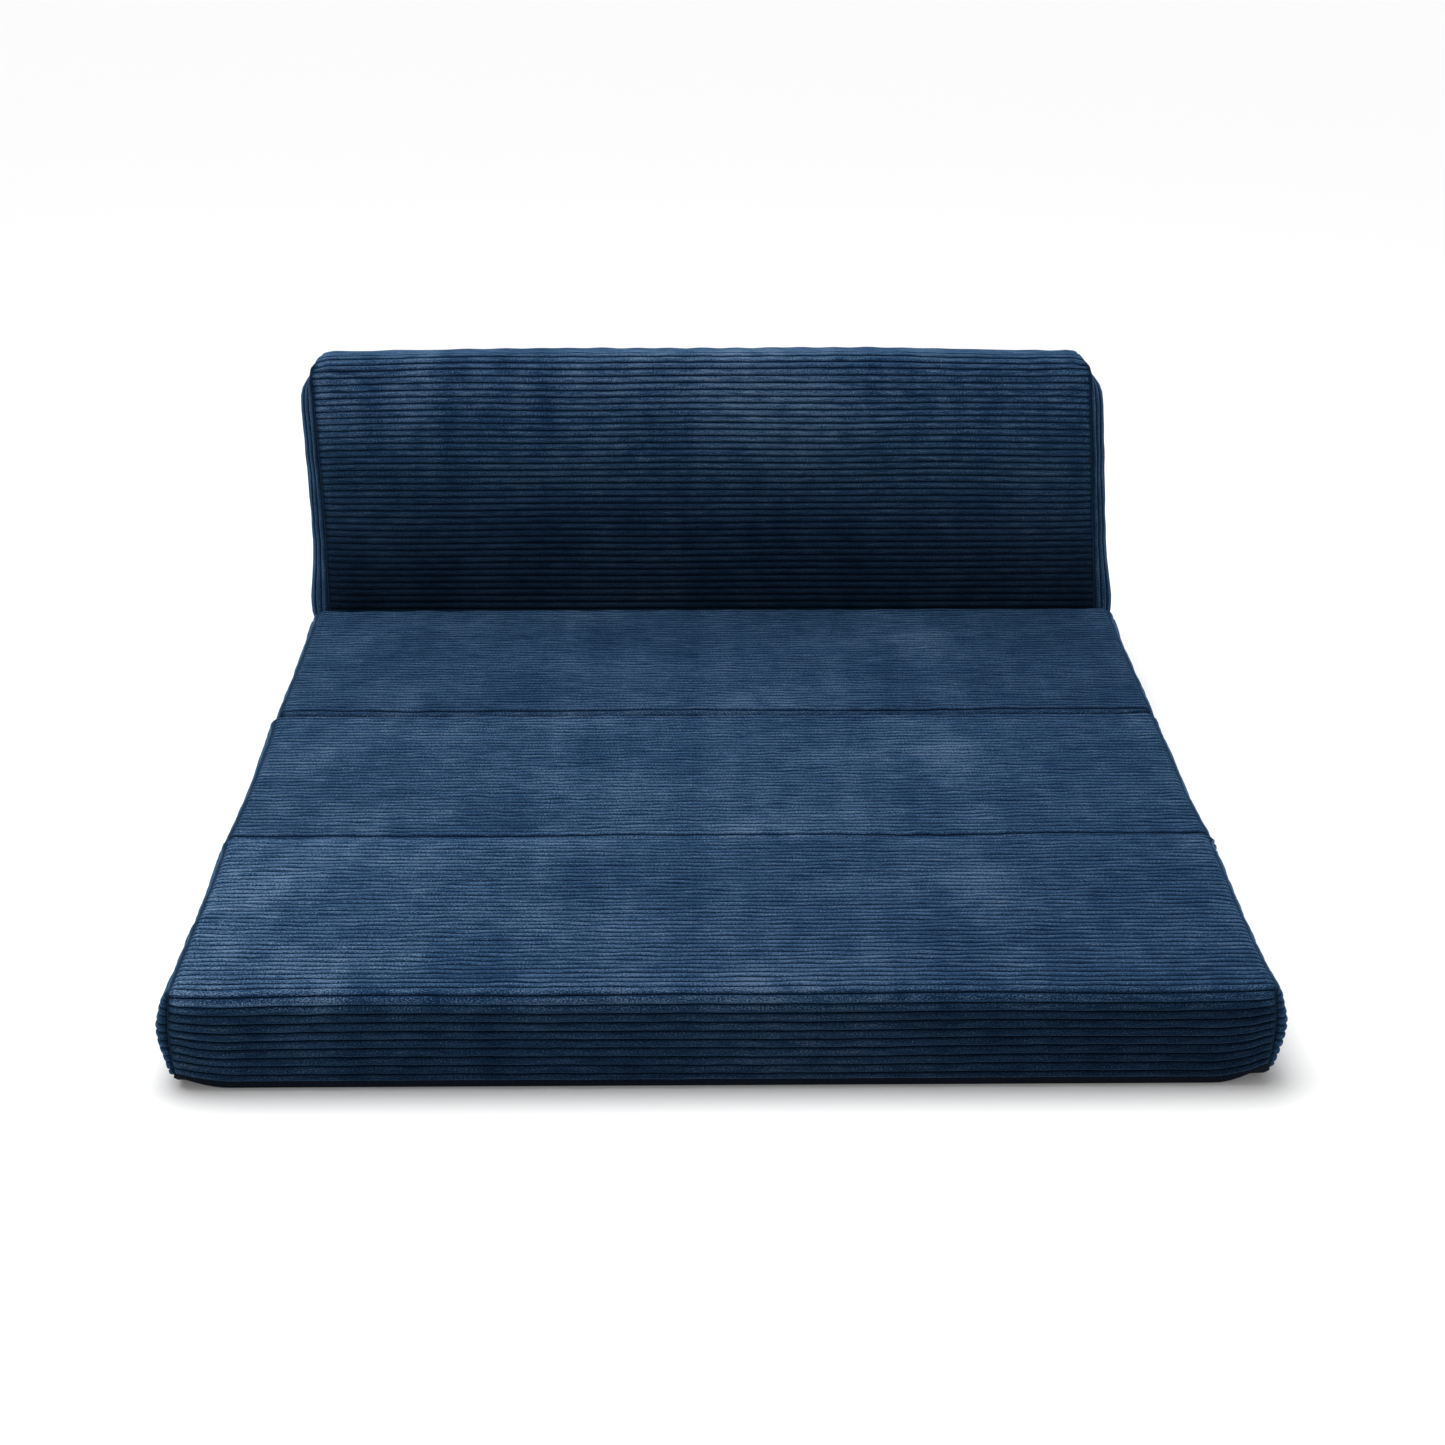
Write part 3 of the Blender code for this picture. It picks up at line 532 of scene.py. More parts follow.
def ribbed_sheet(name, grid, place, seed, nap, channel=None):
    """A fine sheet of corduroy from a coarse grid. The wales run along the grid's second direction."""
    around = run_length(grid)
    along = run_length(grid.transpose(1, 0, 2))
    total, wide = around[-1], along[-1]
    count = max(3, round(total / WALE))
    pitch = total / count
    rows = np.append((np.arange(count)[:, None] + WALE_STEPS).ravel(), count) * pitch
    inner = np.linspace(0.012, wide - 0.012, round(wide / COLUMN))
    columns = np.concatenate([[0, 0.0035, 0.0075], inner, [wide - 0.0075, wide - 0.0035, wide]])
    across = cubic(grid.transpose(1, 0, 2), np.interp(columns, along, np.arange(len(along))))
    across = across.transpose(1, 0, 2)
    where = pairs(columns[None, :], rows[:, None])
    edge = np.minimum(rows, total - rows)[:, None]
    wander = smooth_noise(where * [1.0, 1.6], 0.34, seed) * 0.0013 * np.clip(edge / 0.02, 0, 1)
    at = np.interp(rows[:, None] + wander, around, np.arange(len(around)))
    fine = cubic(across, at)
    normal = np.cross(np.gradient(fine, axis=0), np.gradient(fine, axis=1))
    normal /= np.maximum(np.linalg.norm(normal, axis=2, keepdims=True), 1e-12)
    flip = (normal * (fine - fine.mean((0, 1)))).sum() < 0
    normal *= -1 if flip else 1
    height = wale_profile((rows / pitch) % 1.0)[:, None] * np.ones(len(columns))
    height[-1] = 0
    side = np.minimum(columns, wide - columns)[None, :]
    fade = np.clip(side / 0.007, 0, 1) ** 0.5 * np.clip(edge / 0.004, 0, 1) ** 0.5
    plump = 1 + 0.16 * smooth_noise(where * [1.0, 2.0], 0.09, seed + 1)
    lumps = 0.0006 * smooth_noise(where, 0.055, seed + 2)
    rise = fade * (WALE_HEIGHT * height * plump + RISE + lumps)
    # Painted light and shade: one factor for each point, which the finish multiplies into the colour.
    light_and_shade = nap(fine) if callable(nap) else np.full(fine.shape[:2], nap)
    fine = fine + normal * rise[..., None]
    if channel:
        fine = channel(fine)
    made = grid_object(name, place(fine), height * fade, where, flip)
    point_values(made.data, "nap", light_and_shade)
    return made


def cover_piece(name, grid, place, seed, nap, body, stands_for, channel=None):
    """A ribbed sheet as the outside of something stuffed, in place of one of the frame's parts."""
    made = dress(ribbed_sheet(name, grid, place, seed, nap, channel), body, "corduroy")
    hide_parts(stands_for)
    return made


# %% A mesh from a grid
def point_values(mesh, name, values):
    """Stores one number for every point, for the finish to read."""
    made = mesh.attributes.new(name, "FLOAT", "POINT")
    made.data.foreach_set("value", values.astype(np.float32).ravel())


def grid_object(name, points, height, where, flip):
    """A mesh from a grid of places, with the wale attribute and a map in metres."""
    rows, columns = points.shape[:2]
    number = np.arange(rows * columns).reshape(rows, columns)
    quads = quads_of(number)[:, ::-1] if flip else quads_of(number)
    mesh = bpy.data.meshes.new(name)
    mesh.from_pydata(points.reshape(-1, 3).tolist(), [], quads.tolist())
    point_values(mesh, "wale", height)
    layer = mesh.uv_layers.new(name="metres")
    layer.data.foreach_set("uv", where.reshape(-1, 2)[quads.ravel()].astype(np.float32).ravel())
    mesh.shade_smooth()
    return placed(name, mesh)


# %% [markdown]
# ## Seams
# Where two panels meet, the seam shows as a thin sunk line. It follows the rim of the stuffed lattice, so
# it closes the join between the strip over the top and the side border.


# %% A seam along a rim
SEAM_RADIUS = 0.0011


def seam(name, line, place):
    fine = cubic(line, np.linspace(0, len(line) - 1, len(line) * 4))
    curve = bpy.data.curves.new(name, "CURVE")
    curve.dimensions = "3D"
    curve.bevel_depth = SEAM_RADIUS
    curve.bevel_resolution = 1
    curve.use_fill_caps = True
    spline = curve.splines.new("POLY")
    world = place(fine)
    spline.points.add(len(world) - 1)
    spline.points.foreach_set("co", np.column_stack([world, np.ones(len(world))]).ravel())
    made = placed(name, curve)
    bpy.ops.object.select_all(action="DESELECT")
    made.select_set(True)
    bpy.context.view_layer.objects.active = made
    bpy.ops.object.convert(target="MESH")
    made.data.shade_smooth()
    return made


# %% [markdown]
# ## Wadding
# Polyester wadding lies between the foam and the cover and gives the panel its soft crown. Its upper
# face follows the stuffed cover from just below, and its lower face lies flat on the foam.


# %% A layer of wadding
UNDER_COVER = 0.0032     # from the stuffed lattice down to the wadding


def wadding_layer(name, grid, floor_height, place, body):
    """A closed layer between a grid just under the cover and a flat face on the foam."""
    top = refined(grid, 40, 90)
    where = top[..., :2]
    top = top - [0, 0, UNDER_COVER]
    top[..., 2] += 0.0006 * smooth_noise(where, 0.06, len(name)) - 0.0006
    edge = np.ones(top.shape[:2])
    for ring in range(3):
        edge[ring] = edge[-1 - ring] = np.minimum(edge[ring], ring / 3)
        edge[:, ring] = np.minimum(edge[:, ring], ring / 3)
        edge[:, -1 - ring] = np.minimum(edge[:, -1 - ring], ring / 3)
    top[..., 2] = floor_height + np.maximum(top[..., 2] - floor_height, 0.0004) * edge ** 0.5
    bottom = top * [1, 1, 0] + [0, 0, floor_height]
    both = np.concatenate([top, bottom[::-1]])
    made = grid_object(name, place(both), np.zeros(both.shape[:2]), both[..., :2], False)
    face_outward(made.data, weld=0.00002)
    dress(made, body, "wadding")
    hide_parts(f"{name.split('_')[0]}_wadding")


# %% [markdown]
# ## The three lying sections
# Each one is stuffed by itself. The borders start full, so that the sides stand out past the seams. The
# front section's two front corners curl up off the floor. On the right a channel holds the zip.

# %% Sizes of the lying sections
BASE_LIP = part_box("front_base_panel")[1][2]
HALF_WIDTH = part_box("front_cover")[1][0]
SIDE_FULL = 0.0195       # how far a side border stands out past its seams
SHADE = 0.49             # how much painted shade darkens the upright ends
CURL = {"front": (0.016, 0.026), "middle": (0.003, 0.003), "rear": (0.003, 0.003)}
STANDS = {"front": 0.005, "middle": -0.0012, "rear": -0.0012}    # the front section is the plumpest
print("half a section is", round(HALF_WIDTH, 3), "m wide, its base cloth turned up", round(BASE_LIP, 3))


# %% Where a section lies, and its curled corners
def seat_place(name):
    """Puts a cushion's own axes in its place in the row."""
    low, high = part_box(f"{name}_cover")
    middle = (low[1] + high[1]) / 2

    def place(points):
        return points + np.array([0, middle, 0])

    return place


def bottom_lift(points, length, amounts):
    """Raises the low front corners, left and right by their own amounts."""
    lifted = points.copy()
    for side, amount in zip((-1, 1), amounts):
        away = np.hypot(points[..., 0] * side - HALF_WIDTH, (points[..., 1] + length / 2) * 1.9)
        near = np.clip(1 - away / 0.062, 0, 1) ** 1.8
        low = np.clip(1 - points[..., 2] / THICKNESS, 0, 1)
        lifted[..., 2] += amount * near * low
    return lifted


# %% [markdown]
# The right border gives way to the zip, and a factor of painted light and shade says where the cover is painted
# lighter and where darker.


# %% The zip's channel and the painted light and shade
def zip_channel(name, centre):
    """Presses the right border in behind the zip tape, so the zip lies in the open."""
    low, high = (np.array(corner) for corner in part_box(f"{name}_zip_tape"))

    def press(points):
        inside = np.clip((high[2] + 0.003 - points[..., 2]) / 0.003, 0, 1)
        along = np.clip((high[1] - centre + 0.004 - np.abs(points[..., 1])) / 0.008, 0, 1)
        share = inside * along
        pressed = points.copy()
        pressed[..., 0] -= share * np.maximum(points[..., 0] - (low[0] - 0.0006), 0)
        return pressed

    return press


def seat_painted_light(strength, side_shift, edge_light=0.0):
    """Painted light and shade: lighter on the left of the top than on the right, lighter towards the sides of the
    top by the third amount, and darker on the upright ends.
    """

    def light_and_shade(points):
        x, height = points[..., 0], points[..., 2]
        upright = np.clip((THICKNESS - 0.012 - height) / 0.012, 0, 1)
        sides = edge_light * (x / HALF_WIDTH) ** 2 * (1 - upright)
        return (strength - side_shift * x) * (1 + sides) * (1 - SHADE * upright)

    return light_and_shade


# %% [markdown]
# ## Base cloth
# The underside is a smooth, dark, non-slip cloth. It is turned up about ten millimetres all round and
# sewn to the corduroy, which is the plain band that shows along the bottom of the front. It is modelled
# as a plane with round corners whose edge is pulled up in two rings.


# %% Base cloth of one section
TURN_IN = 0.0035         # how far inside the seam the cloth lies flat


def base_cloth(name, length, points, numbered, place, body):
    fine = refined(points[numbered["base"]], 60, 120)
    rise = bottom_lift(np.dstack([fine[..., :2], np.zeros(fine.shape[:2])]), length, CURL[name])[..., 2]
    inset = fine.copy()
    inset[..., 0] *= 1 - TURN_IN / HALF_WIDTH
    inset[..., 1] *= 1 - TURN_IN / (length / 2)
    inset[..., 2] = 0.0004 + rise

    def rim_of(grid):
        return np.concatenate([grid[0, :-1], grid[:-1, -1], grid[-1, :0:-1], grid[:0:-1, 0]])

    rows, columns = inset.shape[:2]
    number = np.arange(rows * columns).reshape(rows, columns)
    faces = quads_of(number).tolist()
    vertices, rim, start = [inset.reshape(-1, 3)], rim_of(number), rows * columns
    for drop, bulge in ((0.5, 1), (0.0, 0.3)):
        ring = rim_of(fine).copy()
        ring[:, 2] = ring[:, 2] * (1 - drop) + (rim_of(rise) + 0.0008) * drop
        outward = ring[:, :2] / np.maximum(np.linalg.norm(ring[:, :2], axis=1, keepdims=True), 1e-9)
        ring[:, :2] += outward * 0.0012 * bulge
        vertices.append(ring)
        new = np.arange(start, start + len(ring))
        faces += np.stack([rim, np.roll(rim, -1), np.roll(new, -1), new], -1).tolist()
        rim, start = new, start + len(ring)
    mesh = bpy.data.meshes.new(f"{name}_non_slip_base")
    mesh.from_pydata(place(np.concatenate(vertices)).tolist(), [], faces)
    face_outward(mesh)
    if sum(polygon.normal.z * polygon.area for polygon in mesh.polygons) > 0:
        mesh.flip_normals()
    mesh.shade_smooth()
    tray = placed(mesh.name, mesh)
    dress(tray, body, "base_cloth")
    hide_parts(f"{name}_base_panel")


# %% [markdown]
# ## Building a section
# The box is given full sides and a crowned top and is stuffed. The strip over the top, the borders, the
# base cloth, the wadding and the seams all follow from that one lattice.


# %% One lying section
def build_seat(name, seed):
    low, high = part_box(f"{name}_cover")
    length = high[1] - low[1] - 2 * PROUD
    top = THICKNESS - CROWN - PROUD + STANDS[name]
    points, numbered = lattice(2 * HALF_WIDTH, length, BASE_LIP, top, 0.008, 0.011)
    x, a, b = points.T
    height = np.clip((b - BASE_LIP) / (top - BASE_LIP), 0, 1)
    along = np.clip(1 - (2 * np.abs(a) / length) ** 24, 0, 1) ** 0.6
    full = np.sin(math.pi * np.clip(height, 0.02, 0.98)) ** 0.8 * along
    at_side = np.clip((np.abs(x) - (HALF_WIDTH - 0.004)) / 0.003, 0, 1)
    points[:, 0] += np.sign(x) * at_side * full * SIDE_FULL
    crown = (1 - (2 * np.abs(a) / length) ** 6) * (1 - (np.abs(x) / HALF_WIDTH) ** 14)
    points[:, 2] += np.clip(crown, 0, 1) * np.clip((height - 0.6) / 0.4, 0, 1) * CROWN * 0.55
    wobble = smooth_noise(points * [1, 1.4, 0], 0.42, seed) * 0.0008
    points[:, 2] += wobble * np.clip((height - 0.6) / 0.4, 0, 1) * along
    caps = {"wrap": 0.002, "left": 0.004, "right": 0.004, "base": 0.001}
    points = stuffed(points, numbered, caps, slack=0.012)
    points[:, 2] = np.clip(points[:, 2], BASE_LIP, THICKNESS - PROUD + STANDS[name] * 1.4)
    points[:, 1] = np.clip(points[:, 1], -length / 2 - 0.0005, length / 2 + 0.0005)
    points = bottom_lift(points, length, CURL[name])
    place = seat_place(name)
    body = f"{name}_section"
    cover = cover_piece(f"{name}_corduroy_cover", points[numbered["wrap"]], place, seed, PAINTED_LIGHT[name], body,
                        f"{name}_cover")
    top_rows = slice(len(numbered["left"]) + 1, -len(numbered["left"]) - 1)
    wadding_layer(f"{name}_crowned_wadding", points[numbered["wrap"][top_rows, 2:-2]],
                  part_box(f"{name}_foam")[1][2] + 0.0004, place, body)
    for side in ("left", "right"):
        rim = points[numbered[side]]
        channel = zip_channel(name, place(np.zeros(3))[1]) if side == "right" else None
        # Painted light: each side border gets one fixed factor of painted light.
        cover_piece(f"{name}_corduroy_border_{side}", rim, place, seed + 11, 1.15, body,
                    f"{name}_border_{side}", channel)
        line = np.concatenate([rim[:, 0], rim[-1, 1:-1], rim[::-1, -1]])
        dress(seam(f"{name}_seam_{side}", line, place), body, "seam_thread")
    base_cloth(name, length, points, numbered, place, body)
    print(name, "cover", len(cover.data.polygons), "faces")


# %% Build the three sections
# Painted light and shade for each section: how bright its top is painted, how much lighter the left is than the
# right, and for the front, extra light painted towards the sides.
PAINTED_LIGHT = {"front": seat_painted_light(1.24, 0.36, 0.24), "middle": seat_painted_light(1.27, 0.12), "rear": seat_painted_light(1.06, 0.10)}
for order, section in enumerate(PAINTED_LIGHT):
    build_seat(section, 20 + 30 * order)

# %% [markdown]
# ## The standing back
# The back is the same sort of cushion, turned up on its ratchet hinges. Its borders are wider and fuller,
# most of all low down, and its top edge is softer. At the foot its cover is sewn to the dark cloth that
# goes round the bottom. It is built lying flat and then turned about the hinge's axis.

# %% The back's own axes
HINGE = JOINTS["back_recline"]
PIVOT = np.array(HINGE["pos_m"], float)
RAISED = math.radians(-HINGE["range_deg"][0])
COS, SIN = math.cos(RAISED), math.sin(RAISED)
TURN = np.array([[1, 0, 0], [0, COS, -SIN], [0, SIN, COS]])


def stand_up(points):
    return points @ TURN.T + PIVOT


def lying(node_name):
    """A back node's box in the back's own axes, as it lies flat with the hinge at the origin."""
    corners = np.array([vertex.co for vertex in NODES[node_name].data.vertices], float)
    flat = (corners - PIVOT) @ TURN
    return flat.min(0), flat.max(0)


BACK_HALF, BACK_REACH, HALF_THICK = lying("back_cover")[1]
BACK_FULL = lying("back_border_right")[1][0] - BACK_HALF
SLOUCH = 0.021           # how far the top of the back leans to one side
PAST_TAPE = 0.014        # how far the zip's channel runs on past the ends of its tape
BELLY = 0.004            # how far its front swells in the middle
TOP_FULL = 0.0130        # how far its top edge is stuffed past the drawn one
TOP_WAVE = 0.0034        # how unevenly
print("the back reaches", round(BACK_REACH, 3), "m from its hinge")

# %% [markdown]
# After the wales come puckers at the two top corners, a channel for the zip, and the painted light and shade.


# %% Puckers, zip channel and painted light and shade
def puckers(x, up):
    """Small folds that spread from the two top corners, where the cover is sewn round a bend."""
    total = np.zeros(x.shape)
    for side, spread in ((-1, 0.0030), (1, 0.0016)):
        across, down = BACK_HALF - 0.012 - x * side, BACK_REACH - 0.004 - up
        far = np.hypot(across, down)
        angle = np.arctan2(down, across)
        fade = np.exp(-(far / 0.13) ** 2) * np.clip(far / 0.05, 0, 1)
        total += spread * fade * np.sin(angle * 11 + 0.6 + 6 * far)
    return total


def back_channel(centre):
    """Puckers the top corners and presses the cover's rear face in under the back's zip tape."""
    low, high = lying("back_zip_tape")

    def press(points):
        up = points[..., 1] + centre
        along = np.clip((high[0] + PAST_TAPE - np.abs(points[..., 0])) / 0.006, 0, 1)
        share = np.clip((high[1] + 0.003 - up) / 0.003, 0, 1) * along * (points[..., 2] < 0)
        pressed = points.copy()
        pressed[..., 2] += share * np.maximum(high[2] + 0.0006 - points[..., 2], 0)
        pressed[..., 2] += puckers(points[..., 0] + SLOUCH * up / BACK_REACH, up) * (points[..., 2] > 0)
        return pressed

    return press


def back_painted_light(centre):
    """Painted light and shade: light along the top, dark towards the foot, and a little darker on the top edge."""

    def light_and_shade(points):
        up = np.clip((points[..., 1] + centre) / BACK_REACH, 0, 1)
        top_edge = np.clip((up - 0.95) / 0.04, 0, 1)
        return np.minimum(0.32 + 1.76 * up ** 2, 1.6) * (1 - 0.10 * top_edge)

    return light_and_shade


# %% [markdown]
# The box is given its full borders, a slight belly in front and an uneven top edge, then stuffed, leaned
# to one side and stood up on the hinge.


# %% Build the back
def strip_over_top(points, numbered):
    """The back's strip as one grid: rear face from the foot, far end, then front face to the foot."""
    rear = points[numbered["base"]]
    whole = points[numbered["wrap"]]
    rows = numbered["left"].shape[0]
    far_end = whole[:rows]
    front = whole[rows - 1:len(whole) - rows + 1]
    return np.concatenate([rear, far_end[1:], front[1:]])


def build_back(seed):
    start = 0.0015
    length = BACK_REACH - start - 0.001
    centre = start + length / 2
    thick = HALF_THICK - PROUD
    points, numbered = lattice(2 * BACK_HALF - 0.002, length, -thick, thick, plan_radius=0.026,
                               edge_radius=0.022, low_radius=0.022, open_foot=True)
    x, a, b = points.T
    up = np.clip((a + length / 2) / length, 0, 1)
    face = np.clip(1 - (np.abs(b) / thick) ** 4, 0, 1)
    at_side = np.clip((np.abs(x) - (BACK_HALF - 0.004)) / 0.003, 0, 1)
    tall = np.clip(up / 0.05, 0, 1) ** 0.5 * np.clip((0.93 - up) / 0.05, 0, 1) ** 0.6
    tall *= 1 + 0.35 * np.exp(-((up - 0.12) / 0.12) ** 2)
    points[:, 0] += np.sign(x) * at_side * face * tall * (BACK_FULL * 0.86)
    belly = np.clip(np.sin(math.pi * np.clip(up, 0, 1)), 0, 1) ** 0.7
    belly *= 1 - (np.abs(x) / BACK_HALF) ** 10
    points[:, 2] += np.clip(b / thick, 0, 1) ** 3 * belly * BELLY
    wobble = smooth_noise(points * [1, 0.6, 0], 0.55, seed) * TOP_WAVE + TOP_FULL
    points[:, 1] += wobble * np.clip((up - 0.8) / 0.2, 0, 1)
    caps = {"wrap": 0.004, "left": 0.006, "right": 0.006, "base": 0.0005}
    points = stuffed(points, numbered, caps, slack=0.0)
    points[:, 2] = np.clip(points[:, 2], -HALF_THICK, HALF_THICK + 0.002)
    points[:, 0] -= SLOUCH * np.clip(up, 0, 1) ** 1.3

    def place(grid):
        return stand_up(grid + np.array([0, centre, 0]))

    body = "back_section"
    strip = strip_over_top(points, numbered)
    cover = cover_piece("back_corduroy_cover", strip, place, seed, back_painted_light(centre), body, "back_cover",
                        back_channel(centre))
    for side in ("left", "right"):
        rim = points[numbered[side]]
        # Painted shade: each back border gets one fixed factor of painted shade.
        cover_piece(f"back_corduroy_border_{side}", rim, place, seed + 11, 0.9, body,
                    f"back_border_{side}")
        line = np.concatenate([rim[0, :-1], rim[:, -1], rim[-1, -2::-1]])
        dress(seam(f"back_seam_{side}", line, place), body, "seam_thread")
    rows = len(numbered["left"])
    front = points[numbered["wrap"][rows + 1:-rows - 1, 2:-2]]
    wadding_layer("back_crowned_wadding", front, lying("back_foam")[1][2] + 0.0004, place, body)
    print("back cover", len(cover.data.polygons), "faces")


build_back(160)

# %% [markdown]
# ## The cloth round the foot, and the strips that join the sections
# A dark cloth closes the back's round foot.


# %% The cloth round the foot
foot_radius = HALF_THICK - 0.0026
angles = np.radians(np.linspace(84, 276, 61))[:, None]
half_foot = BACK_HALF - 0.007
inner = np.linspace(-half_foot + 0.012, half_foot - 0.012, 80)
stations = [(-half_foot, 0.01), (-half_foot - 0.0010, 0.5), (-half_foot, 0.90), (-half_foot + 0.004, 0.975)]
columns = stations + [(x, 1.0) for x in inner] + [(-x, share) for x, share in stations[::-1]]
foot_x, share = (np.array(values)[None, :] for values in zip(*columns))
foot_grid = pairs(foot_x, foot_radius * share * np.cos(angles), foot_radius * share * np.sin(angles))
foot_where = pairs(foot_x, foot_radius * angles)
foot = grid_object("back_foot_wrap", stand_up(foot_grid), np.zeros(foot_grid.shape[:2]), foot_where, False)
foot_run = foot_radius * (angles[-1, 0] - angles[0, 0])
dress(foot, "back_section", "base_cloth")
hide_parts("back_foot_cloth")
print("foot cloth runs", round(float(foot_run), 3), "m round the foot")

# %% [markdown]
# A joining strip is a path swept across the sofa, from one body to the next.


# %% A strip from a path
def swept_sheet(name, path, half_width):
    """A smooth sheet and the length of its path."""
    fine = cubic(np.array(path, float), np.linspace(0, len(path) - 1, len(path) * 6))
    x = np.linspace(-half_width, half_width, 90)
    points = np.zeros((len(fine), len(x), 3))
    points[..., 0] = x
    points[..., 1:] = fine[:, None]
    wobble = smooth_noise(points, 0.12, len(name)) * 0.0005
    points[..., 1] += wobble
    run = path_length(fine)
    where = pairs(x[None, :], run[:, None])
    return grid_object(name, points, np.zeros(points.shape[:2]), where, False), run[-1]


def joining_strip(name, path, half_width, first, second, start, end, slot):
    """A strip of cloth swept along a path, with the given finish, attached to no body. first, second, start and
    end are not used.
    """
    strip, run = swept_sheet(name, path, half_width)
    dress(strip, None, slot)
    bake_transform(strip)
    2 * half_width


# %% The two folds
upper = JOINTS["fold_rear_middle"]["pos_m"]
lower = JOINTS["fold_middle_front"]["pos_m"]
for name, fold, height, bodies, slot in (
    ("upper_fold_strip", upper, THICKNESS - 0.0125, ("rear_section", "middle_section"), "seam_thread"),
    ("lower_fold_strip", lower, 0.0045, ("middle_section", "front_section"), "base_cloth"),
):
    path = [(fold[1] + reach, height - 0.004 * (abs(reach) > 0.008))
            for reach in np.linspace(0.013, -0.013, 9)]
    joining_strip(name, path, HALF_WIDTH - 0.022, *bodies, (0, fold[1] + 0.004, height),
                  (0, fold[1] - 0.004, height), slot)
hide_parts("upper_fold_seam")
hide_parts("lower_fold_seam")
print("fold strips made")

# %% The strip in the crease of the back
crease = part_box("rear_cover")[1][1]
front_foot = stand_up(np.array([[0, 0.040, HALF_THICK - 0.010], [0, 0.018, HALF_THICK - 0.006]]))
crease_path = [
    (crease - 0.016, THICKNESS - 0.018),
    (crease - 0.007, THICKNESS - 0.024),
    (crease - 0.001, THICKNESS - 0.036),
    (crease + 0.002, THICKNESS - 0.044),
    (front_foot[1][1] - 0.001, THICKNESS - 0.040),
    (front_foot[1][1], front_foot[1][2]),
    (front_foot[0][1] + 0.002, front_foot[0][2]),
]
joining_strip("crease_strip", crease_path, BACK_HALF - 0.030, "rear_section", "back_section",
              (0, crease - 0.004, THICKNESS - 0.04), (0, crease + 0.007, THICKNESS - 0.04), "seam_thread")
print("crease strip made")

# %% [markdown]
# ## Zips
# Each section's foam goes in through a zip. The tape is a woven strip with two rows of teeth that mesh
# along its middle. One tooth is a small block with a narrow neck and soft edges, and a loop sets hundreds
# of copies along the tape, every other one from the opposite side.


# %% One tooth of a zip
TOOTH = (0.00156, 0.0034, 0.0014)    # along the zip, across it, and out of the tape
PITCH = 0.0021                       # from one tooth to the next
CLEAR = 0.0006                       # how deep the woven tape lies inside the drawn one


def model_tooth():
    """A block whose far end is squeezed to a neck. Returns its points and faces."""
    bpy.ops.object.select_all(action="DESELECT")
    bpy.ops.mesh.primitive_cube_add(size=1, location=(0, 0, 0))
    tooth = bpy.context.object
    tooth.data.transform(Matrix.Diagonal((*TOOTH, 1)))
    bpy.ops.object.mode_set(mode="EDIT")
    shape = bmesh.from_edit_mesh(tooth.data)
    for face in shape.faces:
        face.select_set(face.normal.y > 0.9)
    bmesh.update_edit_mesh(tooth.data)
    bpy.ops.transform.resize(value=(0.6, 1, 0.8))
    bpy.ops.mesh.select_all(action="SELECT")
    bpy.ops.mesh.bevel(offset=0.0002, segments=1)
    bpy.ops.object.mode_set(mode="OBJECT")
    points = np.array([vertex.co for vertex in tooth.data.vertices], float)
    faces = [tuple(polygon.vertices) for polygon in tooth.data.polygons]
    bpy.data.objects.remove(tooth)
    return points, faces


TOOTH_POINTS, TOOTH_FACES = model_tooth()
print("one tooth:", len(TOOTH_FACES), "faces")

# %% A row of teeth
def zip_teeth(name, body, centre, along, across, out, length):
    """A row of meshed teeth centred at a place, with the zip's three directions given."""
    frame_axes = np.array([along, across, out], float)
    count = int(length / PITCH)
    vertices, faces = [], []
    for i in range(count):
        side = -1 if i % 2 else 1
        one = TOOTH_POINTS * [side, side, 1] + [(i - count / 2) * PITCH, -side * 0.0009, 0]
        vertices.append(one @ frame_axes + centre)
        faces += [tuple(corner + len(one) * i for corner in face) for face in TOOTH_FACES]
    mesh = bpy.data.meshes.new(name)
    mesh.from_pydata(np.concatenate(vertices).tolist(), [], faces)
    face_outward(mesh)
    dress(placed(name, mesh), body, "zip_metal")


# %% A woven tape
def zip_tape(name, body, corner, along, across, out, length, width):
    """The woven tape as a fine sheet that lies a little unevenly."""
    rows, columns = np.linspace(0, width, 9), np.linspace(0, length, 120)
    where = pairs(columns[None, :], rows[:, None])
    rise = 0.0003 * smooth_noise(where, 0.05, 3) + 0.0004 * np.sin(math.pi * rows / width)[:, None]
    points = corner + where[..., :1] * np.array(along) + where[..., 1:] * np.array(across)
    points = points + rise[..., None] * np.array(out)
    made = grid_object(name, points, np.zeros(rise.shape), where, False)
    facing = np.array(made.data.polygons[0].normal)
    if facing @ np.array(out) < 0:
        made.data.flip_normals()
    dress(made, body, "zip_tape")
    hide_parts(f"{name.split('_')[0]}_zip_tape")


# %% [markdown]
# The three seat zips run along the right borders, and the back's runs across its rear face.

# %% All four zips
for section in ("rear", "middle", "front"):
    low, high = (np.array(corner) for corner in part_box(f"{section}_zip_tape"))
    middle = (low + high) / 2
    run, width = high[1] - low[1], high[2] - low[2]
    directions = (0, 1, 0), (0, 0, 1), (1, 0, 0)
    zip_tape(f"{section}_woven_zip_tape", f"{section}_section", np.array([high[0] - CLEAR, low[1], low[2]]),
             *directions, run, width)
    zip_teeth(f"{section}_zip_teeth", f"{section}_section",
              np.array([high[0] + CLEAR / 2, middle[1], middle[2]]), *directions, run - 0.01)

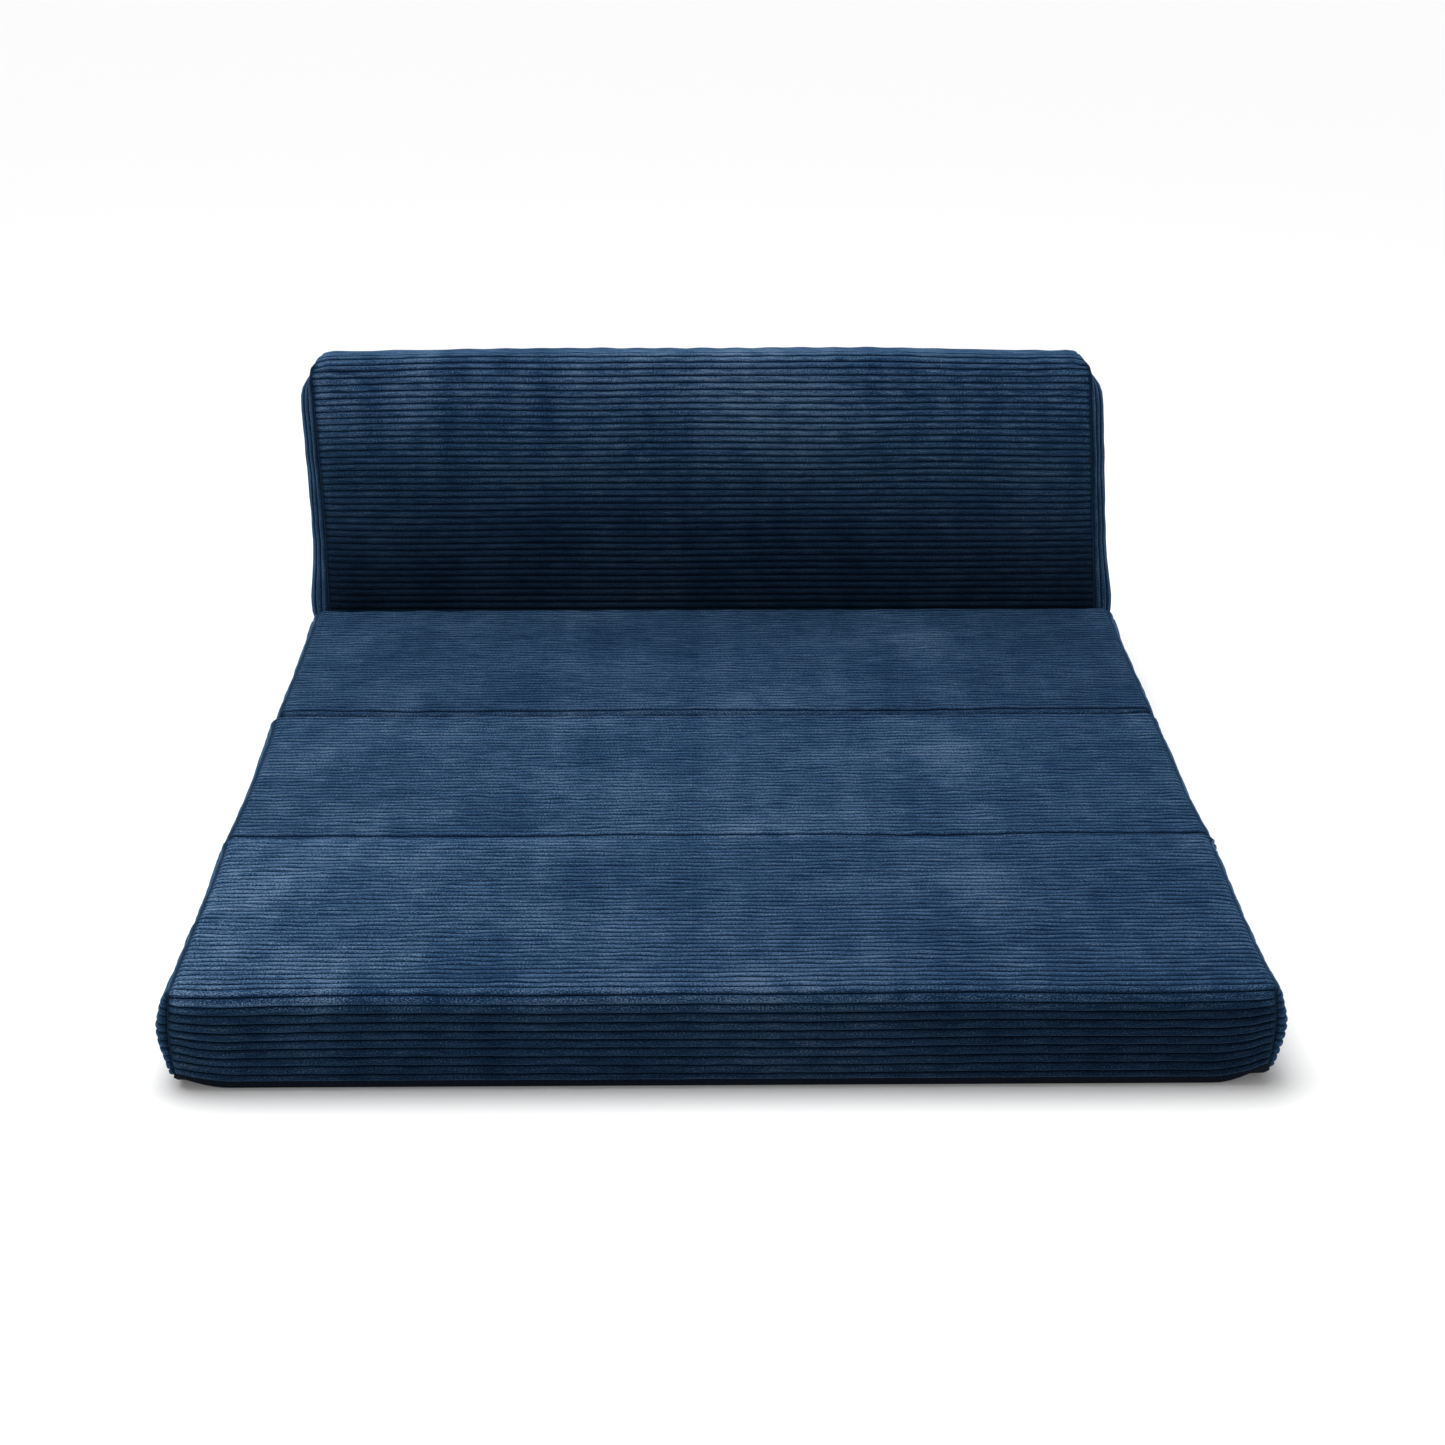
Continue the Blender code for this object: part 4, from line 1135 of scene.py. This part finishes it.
low, high = lying("back_zip_tape")
middle = (low + high) / 2
run, width = high[0] - low[0], high[1] - low[1]
directions = (1, 0, 0), TURN[:, 1], -TURN[:, 2]
zip_tape("back_woven_zip_tape", "back_section", stand_up(np.array([low[0], low[1], low[2] + CLEAR])),
         *directions, run, width)
zip_teeth("back_zip_teeth", "back_section", stand_up(np.array([middle[0], middle[1], low[2] - CLEAR / 2])),
          *directions, run - 0.01)
print("zips made")

# %% [markdown]
# ## Floor, light and camera
# A plain white floor runs far past the view, inside a white dome that only the camera sees, so that it
# neither lights nor shades anything.

# %% Floor and dome
FLOOR_SIZE = 60
DOME_RADIUS = 27
STAGE_CENTRE = 10        # behind the sofa
bpy.ops.mesh.primitive_plane_add(size=FLOOR_SIZE, location=(0, STAGE_CENTRE, -0.0006))
floor = bpy.context.object
floor.name = "floor"
made, tree, shader = blank_material("floor_white")
set_look(tree, shader, {}, base_color=(0.88, 0.88, 0.88, 1), roughness=0.9, specular_ior_level=0.1,
         emission_color=(1, 1, 1, 1), emission_strength=0.09)
floor.data.materials.append(made)

bpy.ops.mesh.primitive_uv_sphere_add(segments=48, ring_count=24, radius=DOME_RADIUS,
                                     location=(0, STAGE_CENTRE, 0))
dome = bpy.context.object
dome.name = "dome"
made, tree, shader = blank_material("dome_white")
set_look(tree, shader, {}, base_color=(0, 0, 0, 1), specular_ior_level=0.0, emission_color=(1, 1, 1, 1),
         emission_strength=1.0)
dome.data.materials.append(made)
for ray in ("diffuse", "glossy", "transmission", "volume_scatter", "shadow"):
    setattr(dome, f"visible_{ray}", False)
print("floor and dome made")

# %% [markdown]
# The light is a wide, soft sun from above and a little behind, so the lying sections are bright, the
# fronts fall into shade, and the shadows stay faint. A panel overhead lifts the middle of the seat.

# %% Light
world = bpy.data.worlds.new("studio")
world.use_nodes = True
world.node_tree.nodes["Background"].inputs["Color"].default_value = (1, 1, 1, 1)
world.node_tree.nodes["Background"].inputs["Strength"].default_value = 0.37
bpy.context.scene.world = world

TOWARDS_SUN = (-0.28, 0.42, 1.0)
lamp = bpy.data.lights.new("soft_sun", "SUN")
lamp.energy = 2.25
lamp.angle = math.radians(75)
across = math.hypot(TOWARDS_SUN[0], TOWARDS_SUN[1])
placed("soft_sun", lamp).rotation_euler = (math.atan2(across, TOWARDS_SUN[2]), 0,
                                           math.atan2(TOWARDS_SUN[0], -TOWARDS_SUN[1]))

panel = bpy.data.lights.new("overhead_panel", "AREA")
panel.shape = "RECTANGLE"
panel.size = 2.4
panel.size_y = 1.4
panel.energy = 40
placed("overhead_panel", panel).location = (-0.25, -0.45, 2.5)
print("a sun and a panel")

# %% [markdown]
# The camera stands three metres in front of the sofa, a little below a standing person's eyes, and looks
# down on it.

# %% Camera
STANDS_BACK = 3.04       # from the front of the sofa
STANDS_UP = 1.529        # above the top of the seat
LOOKS_DOWN = 21.05       # degrees
lens = bpy.data.cameras.new("studio_camera")
lens.sensor_width = 36
lens.lens = 68.8
camera = placed("studio_camera", lens)
camera.location = (-0.034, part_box("front_cover")[0][1] - STANDS_BACK, THICKNESS + STANDS_UP)
camera.rotation_euler = (math.radians(90 - LOOKS_DOWN), 0, math.radians(-0.63))
bpy.context.scene.camera = camera
bpy.context.scene.view_settings.view_transform = "Standard"
print("camera at", tuple(round(value, 3) for value in camera.location))

# %% Update the scene
bpy.context.view_layer.update()
